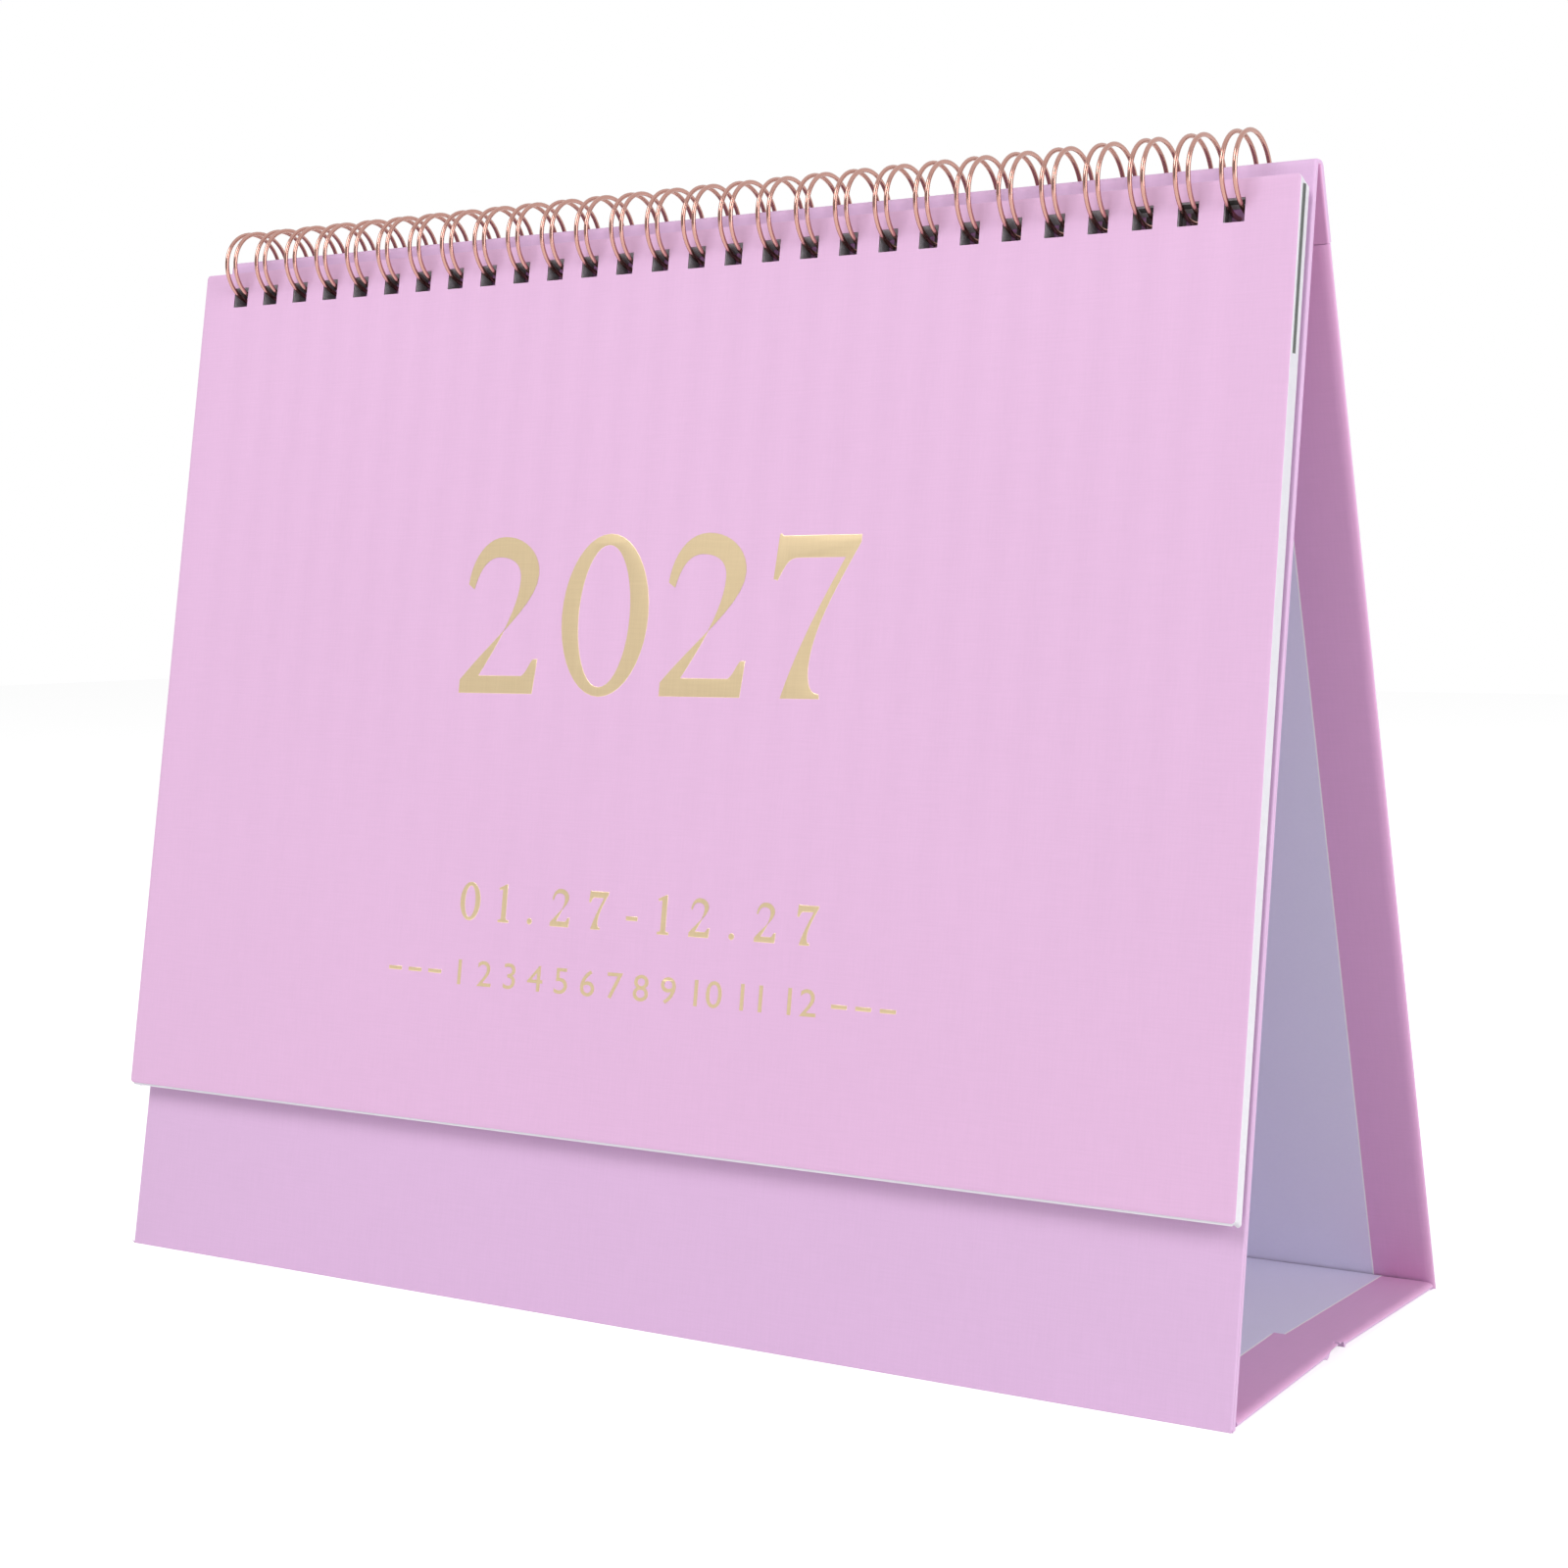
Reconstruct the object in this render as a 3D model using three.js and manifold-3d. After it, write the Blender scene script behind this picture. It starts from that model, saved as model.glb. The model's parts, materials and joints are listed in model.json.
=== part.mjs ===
// Desk calendar: punched sheets on a twin-loop wire, carried by a folding board stand.
// Millimetres, +Z up. +X runs along the calendar's length and +Y points to its back.
import * as THREE from 'three';
import { mergeVertices } from 'three/addons/utils/BufferGeometryUtils.js';
import Module from 'manifold-3d';

const wasm = await Module();
wasm.setup();

// Stand: outer faces, measured on the side profile
const STAND_WIDTH = 249.4;
const RIDGE_HEIGHT = 210;
const FRONT_TILT = THREE.MathUtils.degToRad(9.48);
const BACK_TILT = THREE.MathUtils.degToRad(17.24);
const BASE_FRONT_DEPTH = 49.08;
const CREASE_RISE = 1.2;
const FLOOR_CLEARANCE = 0.1;
const RIDGE_STRIP_LENGTH = 14;

// Spine: the narrow rounded top between the front and the strip behind it
const SPINE_WIDTH = 3.5;
const SPINE_RADIUS = 1.6;
const SPINE_STEPS = 3;
const SPINE_BOARD_DROP = 1.3;
const SPINE_NOTCH_DROP = 1;

// Layers of each panel, from the outside in
const WRAP_THICKNESS = 0.15;
const BOARD_THICKNESS = 1.2;
const LINING_THICKNESS = 0.12;
const GLUE_GAP = 0.04;
const FRONT_TURN_IN = 13;
const BACK_TURN_IN = 12;
const BASE_FRONT_TURN_IN = 12.3;
const BASE_REAR_TURN_IN = 10.2;
const LINING_EDGE_GAP = 0.1;
const LINING_TOP_MARGIN = 2;

// Folds between panels
const FOLD_CLEARANCE = 0.4;
const FOLD_PAPER_GAP = 0.05;
const RIDGE_FOLD_GAP = 0.1;

// Sheets: they hang side by side on the wire and fan out slightly towards the top
const PAGE_WIDTH = STAND_WIDTH + 1.4;
const PAGE_HEIGHT = 174.7;
const PAGE_CORNER_RADIUS = 0.8;
const CORNER_STEPS = 2;
const PAGE_SHIFT = -0.9;
const MONTH_COUNT = 12;
const MONTH_THICKNESS = 0.17;
const COVER_THICKNESS = 0.3;
const SHEET_GAP = 0.03;
const STACK_STANDOFF = 1.35;
const STACK_LEAN = THREE.MathUtils.degToRad(0.085);
const COVER_LEAN = THREE.MathUtils.degToRad(0.44);
const COVER_DROP = 4.3;
const STACK_HANG = 0.8;

// Punched holes
const HOLE_PITCH = 25.4 / 3;
const HOLE_COUNT = Math.floor(PAGE_WIDTH / HOLE_PITCH) - 1;
const HOLE_WIDTH = 3.8;
const HOLE_HEIGHT = 4.15;
const HOLE_TOP_MARGIN = 3.35;
const HOLE_ROW_SHIFT = -1.5;

// Twin-loop wire: slightly oval loops, their centre measured from the middle of the spine
const RING_HALF_DEPTH = 8.1;
const RING_HALF_HEIGHT = 7.45;
const RING_FORWARD = 3.35;
const RING_BELOW = 2.1;
const WIRE_DIAMETER = 0.85;
const WIRE_SPACING = 2.4;
const WIRE_BEND = 0.8;
const SEAM_ANGLE = THREE.MathUtils.degToRad(-5);
const SEAM_GAP = 0.8;
const WIRE_SIDES = 5;
const ARC_STEPS = 12;
const TIP_STEPS = 3;

const BOARD_DEPTH = WRAP_THICKNESS + GLUE_GAP;
const LINING_DEPTH = BOARD_DEPTH + BOARD_THICKNESS + GLUE_GAP;
const WINDOW_DEPTH = LINING_DEPTH - GLUE_GAP;
const PANEL_THICKNESS = LINING_DEPTH + LINING_THICKNESS;
const HALF_WIDTH = STAND_WIDTH / 2;
const OVERCUT = 1;
const OVERRUN = 30;

const PINK = 0xe9c4e6;
const GREY_BOARD = 0x9a948c;
const WHITE_PAPER = 0xf4f3f6;
const ROSE_GOLD = 0xc98a78;

const MATERIALS = {
  wrap: new THREE.MeshStandardMaterial({ color: PINK, roughness: 0.85, metalness: 0 }),
  board: new THREE.MeshStandardMaterial({ color: GREY_BOARD, roughness: 0.95, metalness: 0 }),
  paper: new THREE.MeshStandardMaterial({ color: WHITE_PAPER, roughness: 0.7, metalness: 0 }),
  wire: new THREE.MeshStandardMaterial({ color: ROSE_GOLD, roughness: 0.25, metalness: 1 }),
};

// One straight board of the side profile. Depth is measured inwards from its outer face.
class Panel {
  constructor(start, end) {
    this.start = start;
    this.length = start.distanceTo(end);
    this.along = end.clone().sub(start).normalize();
    this.inward = new THREE.Vector2(this.along.y, -this.along.x);
  }

  at(distance, depth) {
    const point = this.start.clone().addScaledVector(this.along, distance);
    return point.addScaledVector(this.inward, depth);
  }

  distanceOf(point) {
    return point.clone().sub(this.start).dot(this.along);
  }

  depthOf(point) {
    return point.clone().sub(this.start).dot(this.inward);
  }

  // The point at a depth whose height above the floor is given
  atHeight(height, depth) {
    const distance = (height - this.at(0, depth).y) / this.along.y;
    return this.at(distance, depth);
  }

  // Where this panel and another meet, each measured at the same depth
  meet(other, depth) {
    const gap = depth - other.depthOf(this.at(0, depth));
    return this.at(gap / this.along.dot(other.inward), depth);
  }
}

const spineFront = new THREE.Vector2(-SPINE_WIDTH / 2, RIDGE_HEIGHT);
const spineBack = new THREE.Vector2(SPINE_WIDTH / 2, RIDGE_HEIGHT);
const frontFoot = new THREE.Vector2(spineFront.x - RIDGE_HEIGHT * Math.tan(FRONT_TILT), 0);
const rearFoot = new THREE.Vector2(spineBack.x + RIDGE_HEIGHT * Math.tan(BACK_TILT), 0);
const crease = new THREE.Vector2(frontFoot.x + BASE_FRONT_DEPTH, CREASE_RISE);
const liftedFrontFoot = new THREE.Vector2(frontFoot.x, FLOOR_CLEARANCE);
const liftedRearFoot = new THREE.Vector2(rearFoot.x, FLOOR_CLEARANCE);

const front = new Panel(frontFoot, spineFront);
const spine = new Panel(spineFront, spineBack);
const back = new Panel(spineBack, rearFoot);
const baseRear = new Panel(liftedRearFoot, crease);
const baseFront = new Panel(crease, liftedFrontFoot);
const ringCentre = new THREE.Vector2(-RING_FORWARD, RIDGE_HEIGHT - RING_BELOW);
const boardTop = RIDGE_HEIGHT - SPINE_BOARD_DROP;
const notchTop = RIDGE_HEIGHT - SPINE_NOTCH_DROP;

// The rounded corner where one panel runs into the next, drawn at a depth below the outer face
function roundedCorner(first, second, depth) {
  const centre = first.meet(second, SPINE_RADIUS);
  const from = Math.atan2(first.inward.y, first.inward.x);
  const to = Math.atan2(second.inward.y, second.inward.x);
  return Array.from({ length: SPINE_STEPS + 1 }, (_, index) => {
    const angle = from + ((to - from) * index) / SPINE_STEPS;
    const outward = new THREE.Vector2(-Math.cos(angle), -Math.sin(angle));
    return centre.clone().addScaledVector(outward, SPINE_RADIUS - depth);
  });
}

// A side profile of (y, z) points, carried along X from one end to the other
function prism(profile, x0, x1) {
  const geometry = new THREE.ExtrudeGeometry(new THREE.Shape(profile), {
    depth: x1 - x0,
    bevelEnabled: false,
  });
  const toSideView = new THREE.Matrix4().makeBasis(
    new THREE.Vector3(0, 1, 0),
    new THREE.Vector3(0, 0, 1),
    new THREE.Vector3(1, 0, 0),
  );
  geometry.applyMatrix4(toSideView);
  geometry.translate(x0, 0, 0);
  return geometry;
}

function toSolid(geometry) {
  const bare = geometry.clone();
  bare.deleteAttribute('normal');
  bare.deleteAttribute('uv');
  const merged = mergeVertices(bare, 1e-5);
  return new wasm.Manifold(new wasm.Mesh({
    numProp: 3,
    vertProperties: new Float32Array(merged.attributes.position.array),
    triVerts: new Uint32Array(merged.index.array),
  }));
}

function toGeometry(solid) {
  const mesh = solid.getMesh();
  const geometry = new THREE.BufferGeometry();
  geometry.setAttribute('position', new THREE.BufferAttribute(mesh.vertProperties, 3));
  geometry.setIndex(new THREE.BufferAttribute(mesh.triVerts, 1));
  geometry.computeVertexNormals();
  return geometry;
}

function cut(body, cutters) {
  let solid = toSolid(body);
  for (const cutter of cutters) {
    solid = solid.subtract(toSolid(cutter));
  }
  return toGeometry(solid);
}

// Distance along a panel at which the loops' centre line passes through it, below the ring's centre
function ringCrossing(panel) {
  const toUnitRing = new THREE.Vector2(1 / RING_HALF_DEPTH, 1 / RING_HALF_HEIGHT);
  const start = panel.at(0, PANEL_THICKNESS / 2).sub(ringCentre).multiply(toUnitRing);
  const along = panel.along.clone().multiply(toUnitRing);
  const nearest = -start.dot(along) / along.lengthSq();
  const reach = Math.sqrt(nearest ** 2 - (start.lengthSq() - 1) / along.lengthSq());
  const away = panel === front ? -1 : 1;
  return nearest + away * reach;
}

function holeCentres() {
  const first = HOLE_ROW_SHIFT - (HOLE_PITCH * (HOLE_COUNT - 1)) / 2;
  return Array.from({ length: HOLE_COUNT }, (_, index) => first + HOLE_PITCH * index);
}

// Cutters for the row of holes through one panel
function holeCutters(panel) {
  const middle = ringCrossing(panel);
  const low = middle - HOLE_HEIGHT / 2;
  const high = middle + HOLE_HEIGHT / 2;
  const profile = [
    panel.at(low, -OVERCUT),
    panel.at(high, -OVERCUT),
    panel.at(high, PANEL_THICKNESS + OVERCUT),
    panel.at(low, PANEL_THICKNESS + OVERCUT),
  ];
  return holeCentres().map((x) => prism(profile, x - HOLE_WIDTH / 2, x + HOLE_WIDTH / 2));
}

// A flat layer of one panel, from one distance to another
function layer(panel, from, to, depth, thickness, halfWidth) {
  const profile = [
    panel.at(from, depth),
    panel.at(to, depth),
    panel.at(to, depth + thickness),
    panel.at(from, depth + thickness),
  ];
  return prism(profile, -halfWidth, halfWidth);
}

// A wrap: the shell left round the board's space, open in the middle of its inner side
function wrapShell(outline, boardSpace, window, turnIn, punches = []) {
  const windowHalf = HALF_WIDTH - turnIn;
  const boardSpaceHalf = HALF_WIDTH - WRAP_THICKNESS;
  return cut(prism(outline, -HALF_WIDTH, HALF_WIDTH), [
    prism(boardSpace, -boardSpaceHalf, boardSpaceHalf),
    prism(window, -windowHalf, windowHalf),
    ...punches,
  ]);
}

const boardHalf = HALF_WIDTH - WRAP_THICKNESS - GLUE_GAP;
const liningHalf = (turnIn) => HALF_WIDTH - turnIn - LINING_EDGE_GAP;
const liningBottom = WRAP_THICKNESS + GLUE_GAP;

// Front wrap: foot, front face, rounded spine and the narrow strip behind it
function frontWrap() {
  const end = RIDGE_STRIP_LENGTH;
  const outline = [
    frontFoot,
    ...roundedCorner(front, spine, 0),
    ...roundedCorner(spine, back, 0),
    back.at(end, 0),
    back.at(end, PANEL_THICKNESS),
    back.atHeight(notchTop, PANEL_THICKNESS),
    front.atHeight(notchTop, PANEL_THICKNESS),
    front.atHeight(0, PANEL_THICKNESS),
  ];
  const boardSpace = [
    front.atHeight(WRAP_THICKNESS, WRAP_THICKNESS),
    ...roundedCorner(front, spine, WRAP_THICKNESS),
    ...roundedCorner(spine, back, WRAP_THICKNESS),
    back.at(end + OVERRUN, WRAP_THICKNESS),
    back.at(end + OVERRUN, LINING_DEPTH),
    back.atHeight(notchTop + LINING_THICKNESS, LINING_DEPTH),
    front.atHeight(notchTop + LINING_THICKNESS, LINING_DEPTH),
    front.atHeight(WRAP_THICKNESS, LINING_DEPTH),
  ];
  const windowTop = notchTop + 2 * LINING_THICKNESS;
  const window = [
    front.atHeight(WRAP_THICKNESS, WINDOW_DEPTH),
    front.atHeight(windowTop, WINDOW_DEPTH),
    back.atHeight(windowTop, WINDOW_DEPTH),
    back.at(end + OVERRUN, WINDOW_DEPTH),
    back.at(end + OVERRUN, PANEL_THICKNESS + OVERCUT),
    front.meet(back, PANEL_THICKNESS + OVERCUT),
    front.atHeight(WRAP_THICKNESS, PANEL_THICKNESS + OVERCUT),
  ];
  const punches = [...holeCutters(front), ...holeCutters(back)];
  return wrapShell(outline, boardSpace, window, FRONT_TURN_IN, punches);
}

function backWrap() {
  const top = RIDGE_STRIP_LENGTH + RIDGE_FOLD_GAP;
  const outline = [
    back.at(top, 0),
    rearFoot,
    back.atHeight(0, PANEL_THICKNESS),
    back.at(top, PANEL_THICKNESS),
  ];
  const boardSpace = [
    back.at(0, WRAP_THICKNESS),
    back.atHeight(WRAP_THICKNESS, WRAP_THICKNESS),
    back.atHeight(WRAP_THICKNESS, LINING_DEPTH),
    back.at(0, LINING_DEPTH),
  ];
  const window = [
    back.at(0, WINDOW_DEPTH),
    back.atHeight(WRAP_THICKNESS, WINDOW_DEPTH),
    back.atHeight(WRAP_THICKNESS, PANEL_THICKNESS + OVERCUT),
    back.at(0, PANEL_THICKNESS + OVERCUT),
  ];
  return wrapShell(outline, boardSpace, window, BACK_TURN_IN);
}

// Where each half of the base starts and ends along its own panel
const rearHalfStart = baseRear.distanceOf(baseRear.meet(back, PANEL_THICKNESS)) + FOLD_CLEARANCE;
const rearHalfEnd = baseRear.length - FOLD_CLEARANCE;
const frontHalfStart = FOLD_CLEARANCE;
const frontHalfEnd = baseFront.distanceOf(baseFront.meet(front, PANEL_THICKNESS)) - FOLD_CLEARANCE;

function baseWrap(panel, from, to, turnIn) {
  const outline = [
    panel.at(from, 0),
    panel.at(to, 0),
    panel.at(to, PANEL_THICKNESS),
    panel.at(from, PANEL_THICKNESS),
  ];
  const between = (low, high) => [
    panel.at(from - OVERCUT, low),
    panel.at(to + OVERCUT, low),
    panel.at(to + OVERCUT, high),
    panel.at(from - OVERCUT, high),
  ];
  const boardSpace = between(WRAP_THICKNESS, LINING_DEPTH);
  const window = between(WINDOW_DEPTH, PANEL_THICKNESS + OVERCUT);
  return wrapShell(outline, boardSpace, window, turnIn);
}

function frontBoard() {
  const outer = BOARD_DEPTH;
  const inner = BOARD_DEPTH + BOARD_THICKNESS;
  const profile = [
    front.atHeight(liningBottom, outer),
    front.atHeight(boardTop, outer),
    front.atHeight(boardTop, inner),
    front.atHeight(liningBottom, inner),
  ];
  return cut(prism(profile, -boardHalf, boardHalf), holeCutters(front));
}

function ridgeBoard() {
  const outer = BOARD_DEPTH;
  const inner = BOARD_DEPTH + BOARD_THICKNESS;
  const profile = [
    back.atHeight(boardTop, outer),
    back.at(RIDGE_STRIP_LENGTH, outer),
    back.at(RIDGE_STRIP_LENGTH, inner),
    back.atHeight(boardTop, inner),
  ];
  return cut(prism(profile, -boardHalf, boardHalf), holeCutters(back));
}

function backBoard() {
  const outer = BOARD_DEPTH;
  const inner = BOARD_DEPTH + BOARD_THICKNESS;
  const top = RIDGE_STRIP_LENGTH + FOLD_CLEARANCE;
  const profile = [
    back.at(top, outer),
    back.atHeight(liningBottom, outer),
    back.atHeight(liningBottom, inner),
    back.at(top, inner),
  ];
  return prism(profile, -boardHalf, boardHalf);
}

function frontLining() {
  const top = ringCrossing(front) - HOLE_HEIGHT / 2 - LINING_TOP_MARGIN;
  const profile = [
    front.atHeight(liningBottom, LINING_DEPTH),
    front.at(top, LINING_DEPTH),
    front.at(top, PANEL_THICKNESS),
    front.atHeight(liningBottom, PANEL_THICKNESS),
  ];
  return prism(profile, -liningHalf(FRONT_TURN_IN), liningHalf(FRONT_TURN_IN));
}

function backLining() {
  const top = RIDGE_STRIP_LENGTH + LINING_TOP_MARGIN;
  const profile = [
    back.at(top, LINING_DEPTH),
    back.atHeight(liningBottom, LINING_DEPTH),
    back.atHeight(liningBottom, PANEL_THICKNESS),
    back.at(top, PANEL_THICKNESS),
  ];
  return prism(profile, -liningHalf(BACK_TURN_IN), liningHalf(BACK_TURN_IN));
}

// A short band of wrap paper that bends at a fold, between the ends of two wraps
function foldBand(start, end, startInner, endInner) {
  return prism([start, end, endInner, startInner], -HALF_WIDTH, HALF_WIDTH);
}

function frontFootFold() {
  const landEnd = front.atHeight(0, PANEL_THICKNESS).x + FOLD_PAPER_GAP;
  const wrapEnd = frontHalfEnd + FOLD_PAPER_GAP;
  return foldBand(
    baseFront.at(wrapEnd, 0),
    new THREE.Vector2(landEnd, 0),
    baseFront.at(wrapEnd, WRAP_THICKNESS),
    new THREE.Vector2(landEnd, WRAP_THICKNESS),
  );
}

function rearFootFold() {
  const landEnd = back.atHeight(0, PANEL_THICKNESS).x - FOLD_PAPER_GAP;
  const wrapEnd = rearHalfStart - FOLD_PAPER_GAP;
  return foldBand(
    new THREE.Vector2(landEnd, 0),
    baseRear.at(wrapEnd, 0),
    new THREE.Vector2(landEnd, WRAP_THICKNESS),
    baseRear.at(wrapEnd, WRAP_THICKNESS),
  );
}

function creaseFold() {
  const rearEnd = rearHalfEnd + FOLD_PAPER_GAP;
  const frontEnd = frontHalfStart - FOLD_PAPER_GAP;
  const profile = [
    baseRear.at(rearEnd, 0),
    crease,
    baseFront.at(frontEnd, 0),
    baseFront.at(frontEnd, WRAP_THICKNESS),
    baseFront.meet(baseRear, WRAP_THICKNESS),
    baseRear.at(rearEnd, WRAP_THICKNESS),
  ];
  return prism(profile, -HALF_WIDTH, HALF_WIDTH);
}

// A sheet with rounded corners and a row of square holes, its bottom edge on the X axis
function sheet(thickness) {
  const half = PAGE_WIDTH / 2 - PAGE_CORNER_RADIUS;
  const low = PAGE_CORNER_RADIUS;
  const high = PAGE_HEIGHT - PAGE_CORNER_RADIUS;
  const corners = [[half, low], [half, high], [-half, high], [-half, low]];
  const outline = new THREE.Shape();
  corners.forEach(([x, y], corner) => {
    for (let i = 0; i <= CORNER_STEPS; i += 1) {
      const angle = (corner - 1 + i / CORNER_STEPS) * (Math.PI / 2);
      const px = x + PAGE_CORNER_RADIUS * Math.cos(angle);
      const py = y + PAGE_CORNER_RADIUS * Math.sin(angle);
      if (corner + i === 0) {
        outline.moveTo(px, py);
      } else {
        outline.lineTo(px, py);
      }
    }
  });
  const body = new THREE.ExtrudeGeometry(outline, { depth: thickness, bevelEnabled: false });
  const holeMiddle = PAGE_HEIGHT - HOLE_TOP_MARGIN - HOLE_HEIGHT / 2;
  const punches = holeCentres().map((centre) => {
    const punch = new THREE.BoxGeometry(HOLE_WIDTH, HOLE_HEIGHT, thickness * 3);
    punch.translate(centre - PAGE_SHIFT, holeMiddle, thickness / 2);
    return punch;
  });
  return cut(body, punches);
}

// A tube of a few sides through a list of points, closed at both ends
function tube(points, radius, sides) {
  const positions = [];
  const indices = [];
  let normal = new THREE.Vector3(0, 0, 1);
  points.forEach((point, index) => {
    const before = points[Math.max(index - 1, 0)];
    const after = points[Math.min(index + 1, points.length - 1)];
    const into = point.clone().sub(before).normalize();
    const out = after.clone().sub(point).normalize();
    const tangent = into.add(out).normalize();
    normal = normal.addScaledVector(tangent, -normal.dot(tangent)).normalize();
    const binormal = new THREE.Vector3().crossVectors(tangent, normal);
    for (let side = 0; side < sides; side += 1) {
      const angle = (side / sides) * Math.PI * 2;
      const ringPoint = point.clone();
      ringPoint.addScaledVector(normal, radius * Math.cos(angle));
      ringPoint.addScaledVector(binormal, radius * Math.sin(angle));
      positions.push(ringPoint.x, ringPoint.y, ringPoint.z);
    }
  });
  for (let index = 0; index < points.length - 1; index += 1) {
    for (let side = 0; side < sides; side += 1) {
      const a = index * sides + side;
      const b = index * sides + ((side + 1) % sides);
      indices.push(a, b, b + sides, a, b + sides, a + sides);
    }
  }
  const last = (points.length - 1) * sides;
  for (let side = 1; side < sides - 1; side += 1) {
    indices.push(0, side + 1, side);
    indices.push(last, last + side, last + side + 1);
  }
  const geometry = new THREE.BufferGeometry();
  geometry.setAttribute('position', new THREE.Float32BufferAttribute(positions, 3));
  geometry.setIndex(indices);
  geometry.computeVertexNormals();
  return geometry;
}

// The binding: one wire that runs round the ridge and back for each hole, then on to the next
function binding() {
  const bendTurn = WIRE_BEND / RING_HALF_HEIGHT;
  const tipTurn = WIRE_SPACING / 2 / RING_HALF_HEIGHT;
  const seamTurn = (SEAM_GAP + WIRE_DIAMETER) / RING_HALF_HEIGHT;
  const arcStart = SEAM_ANGLE - bendTurn;
  const arcEnd = SEAM_ANGLE - 2 * Math.PI + seamTurn + tipTurn;
  const step = (arcEnd - arcStart) / ARC_STEPS;
  const cornerReach = 2 / (1 + Math.cos(step / 2));
  const pointAt = (x, angle) => new THREE.Vector3(
    x,
    ringCentre.x + RING_HALF_DEPTH * cornerReach * Math.cos(angle),
    ringCentre.y + RING_HALF_HEIGHT * cornerReach * Math.sin(angle),
  );
  const points = [];
  const centres = holeCentres();
  centres.forEach((centre, index) => {
    const left = centre - WIRE_SPACING / 2;
    const right = centre + WIRE_SPACING / 2;
    if (index > 0) {
      points.push(pointAt(left - WIRE_BEND, SEAM_ANGLE));
    }
    for (let i = 0; i <= ARC_STEPS; i += 1) {
      points.push(pointAt(left, arcStart + step * i));
    }
    for (let i = 1; i < TIP_STEPS; i += 1) {
      const turn = (Math.PI * i) / TIP_STEPS;
      const x = centre - (WIRE_SPACING / 2) * Math.cos(turn);
      points.push(pointAt(x, arcEnd - tipTurn * Math.sin(turn)));
    }
    for (let i = ARC_STEPS; i >= 0; i -= 1) {
      points.push(pointAt(right, arcStart + step * i));
    }
    if (index < centres.length - 1) {
      points.push(pointAt(right + WIRE_BEND, SEAM_ANGLE));
    }
  });
  return tube(points, WIRE_DIAMETER / 2, WIRE_SIDES);
}

function part(name, geometry, material) {
  const mesh = new THREE.Mesh(geometry, material);
  mesh.name = name;
  return mesh;
}

function standParts() {
  const rearLiningHalf = liningHalf(BASE_REAR_TURN_IN);
  const frontLiningHalf = liningHalf(BASE_FRONT_TURN_IN);
  const baseRearWrap = baseWrap(baseRear, rearHalfStart, rearHalfEnd, BASE_REAR_TURN_IN);
  const baseFrontWrap = baseWrap(baseFront, frontHalfStart, frontHalfEnd, BASE_FRONT_TURN_IN);
  const baseRearLining = layer(
    baseRear, rearHalfStart, rearHalfEnd, LINING_DEPTH, LINING_THICKNESS, rearLiningHalf,
  );
  const baseFrontLining = layer(
    baseFront, frontHalfStart, frontHalfEnd, LINING_DEPTH, LINING_THICKNESS, frontLiningHalf,
  );
  const baseRearBoard = layer(
    baseRear, rearHalfStart, rearHalfEnd, BOARD_DEPTH, BOARD_THICKNESS, boardHalf,
  );
  const baseFrontBoard = layer(
    baseFront, frontHalfStart, frontHalfEnd, BOARD_DEPTH, BOARD_THICKNESS, boardHalf,
  );
  return [
    part('front_wrap', frontWrap(), MATERIALS.wrap),
    part('front_board', frontBoard(), MATERIALS.board),
    part('front_lining', frontLining(), MATERIALS.paper),
    part('ridge_board', ridgeBoard(), MATERIALS.board),
    part('back_wrap', backWrap(), MATERIALS.wrap),
    part('back_board', backBoard(), MATERIALS.board),
    part('back_lining', backLining(), MATERIALS.paper),
    part('base_front_wrap', baseFrontWrap, MATERIALS.wrap),
    part('base_front_board', baseFrontBoard, MATERIALS.board),
    part('base_front_lining', baseFrontLining, MATERIALS.paper),
    part('base_rear_wrap', baseRearWrap, MATERIALS.wrap),
    part('base_rear_board', baseRearBoard, MATERIALS.board),
    part('base_rear_lining', baseRearLining, MATERIALS.paper),
    part('front_foot_fold', frontFootFold(), MATERIALS.wrap),
    part('rear_foot_fold', rearFootFold(), MATERIALS.wrap),
    part('base_crease_fold', creaseFold(), MATERIALS.wrap),
  ];
}

// The sheets hang in front of the front panel: local Y runs up its slope and local Z out from it.
// From the last month out to the cover, each one leans out a little more and hangs a little higher.
function sheetParts() {
  const sheets = new THREE.Group();
  sheets.position.set(PAGE_SHIFT, frontFoot.x, frontFoot.y);
  sheets.rotation.x = Math.PI / 2 - FRONT_TILT;
  const coverFoot = front.length - COVER_DROP - PAGE_HEIGHT;
  const hang = (mesh, outFromLast) => {
    const share = outFromLast / MONTH_COUNT;
    const lift = STACK_STANDOFF + outFromLast * (MONTH_THICKNESS + SHEET_GAP);
    mesh.position.set(0, coverFoot - STACK_HANG * (1 - share), lift);
    mesh.rotation.x = STACK_LEAN + (COVER_LEAN - STACK_LEAN) * share;
    sheets.add(mesh);
  };
  for (let month = MONTH_COUNT; month >= 1; month -= 1) {
    const name = `month_sheet_${String(month).padStart(2, '0')}`;
    hang(part(name, sheet(MONTH_THICKNESS), MATERIALS.paper), MONTH_COUNT - month);
  }
  hang(part('cover_sheet', sheet(COVER_THICKNESS), MATERIALS.wrap), MONTH_COUNT);
  return sheets;
}

// Origin: centre of the bounding box in plan, on the surface that the stand rests on
const calendar = new THREE.Group();
calendar.add(...standParts());
calendar.add(sheetParts());
calendar.add(part('binding_wire', binding(), MATERIALS.wire));
calendar.updateMatrixWorld(true);
const box = new THREE.Box3().setFromObject(calendar, true);
const middle = box.getCenter(new THREE.Vector3());
calendar.position.set(-middle.x, -middle.y, -box.min.z);

export default calendar;
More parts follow.
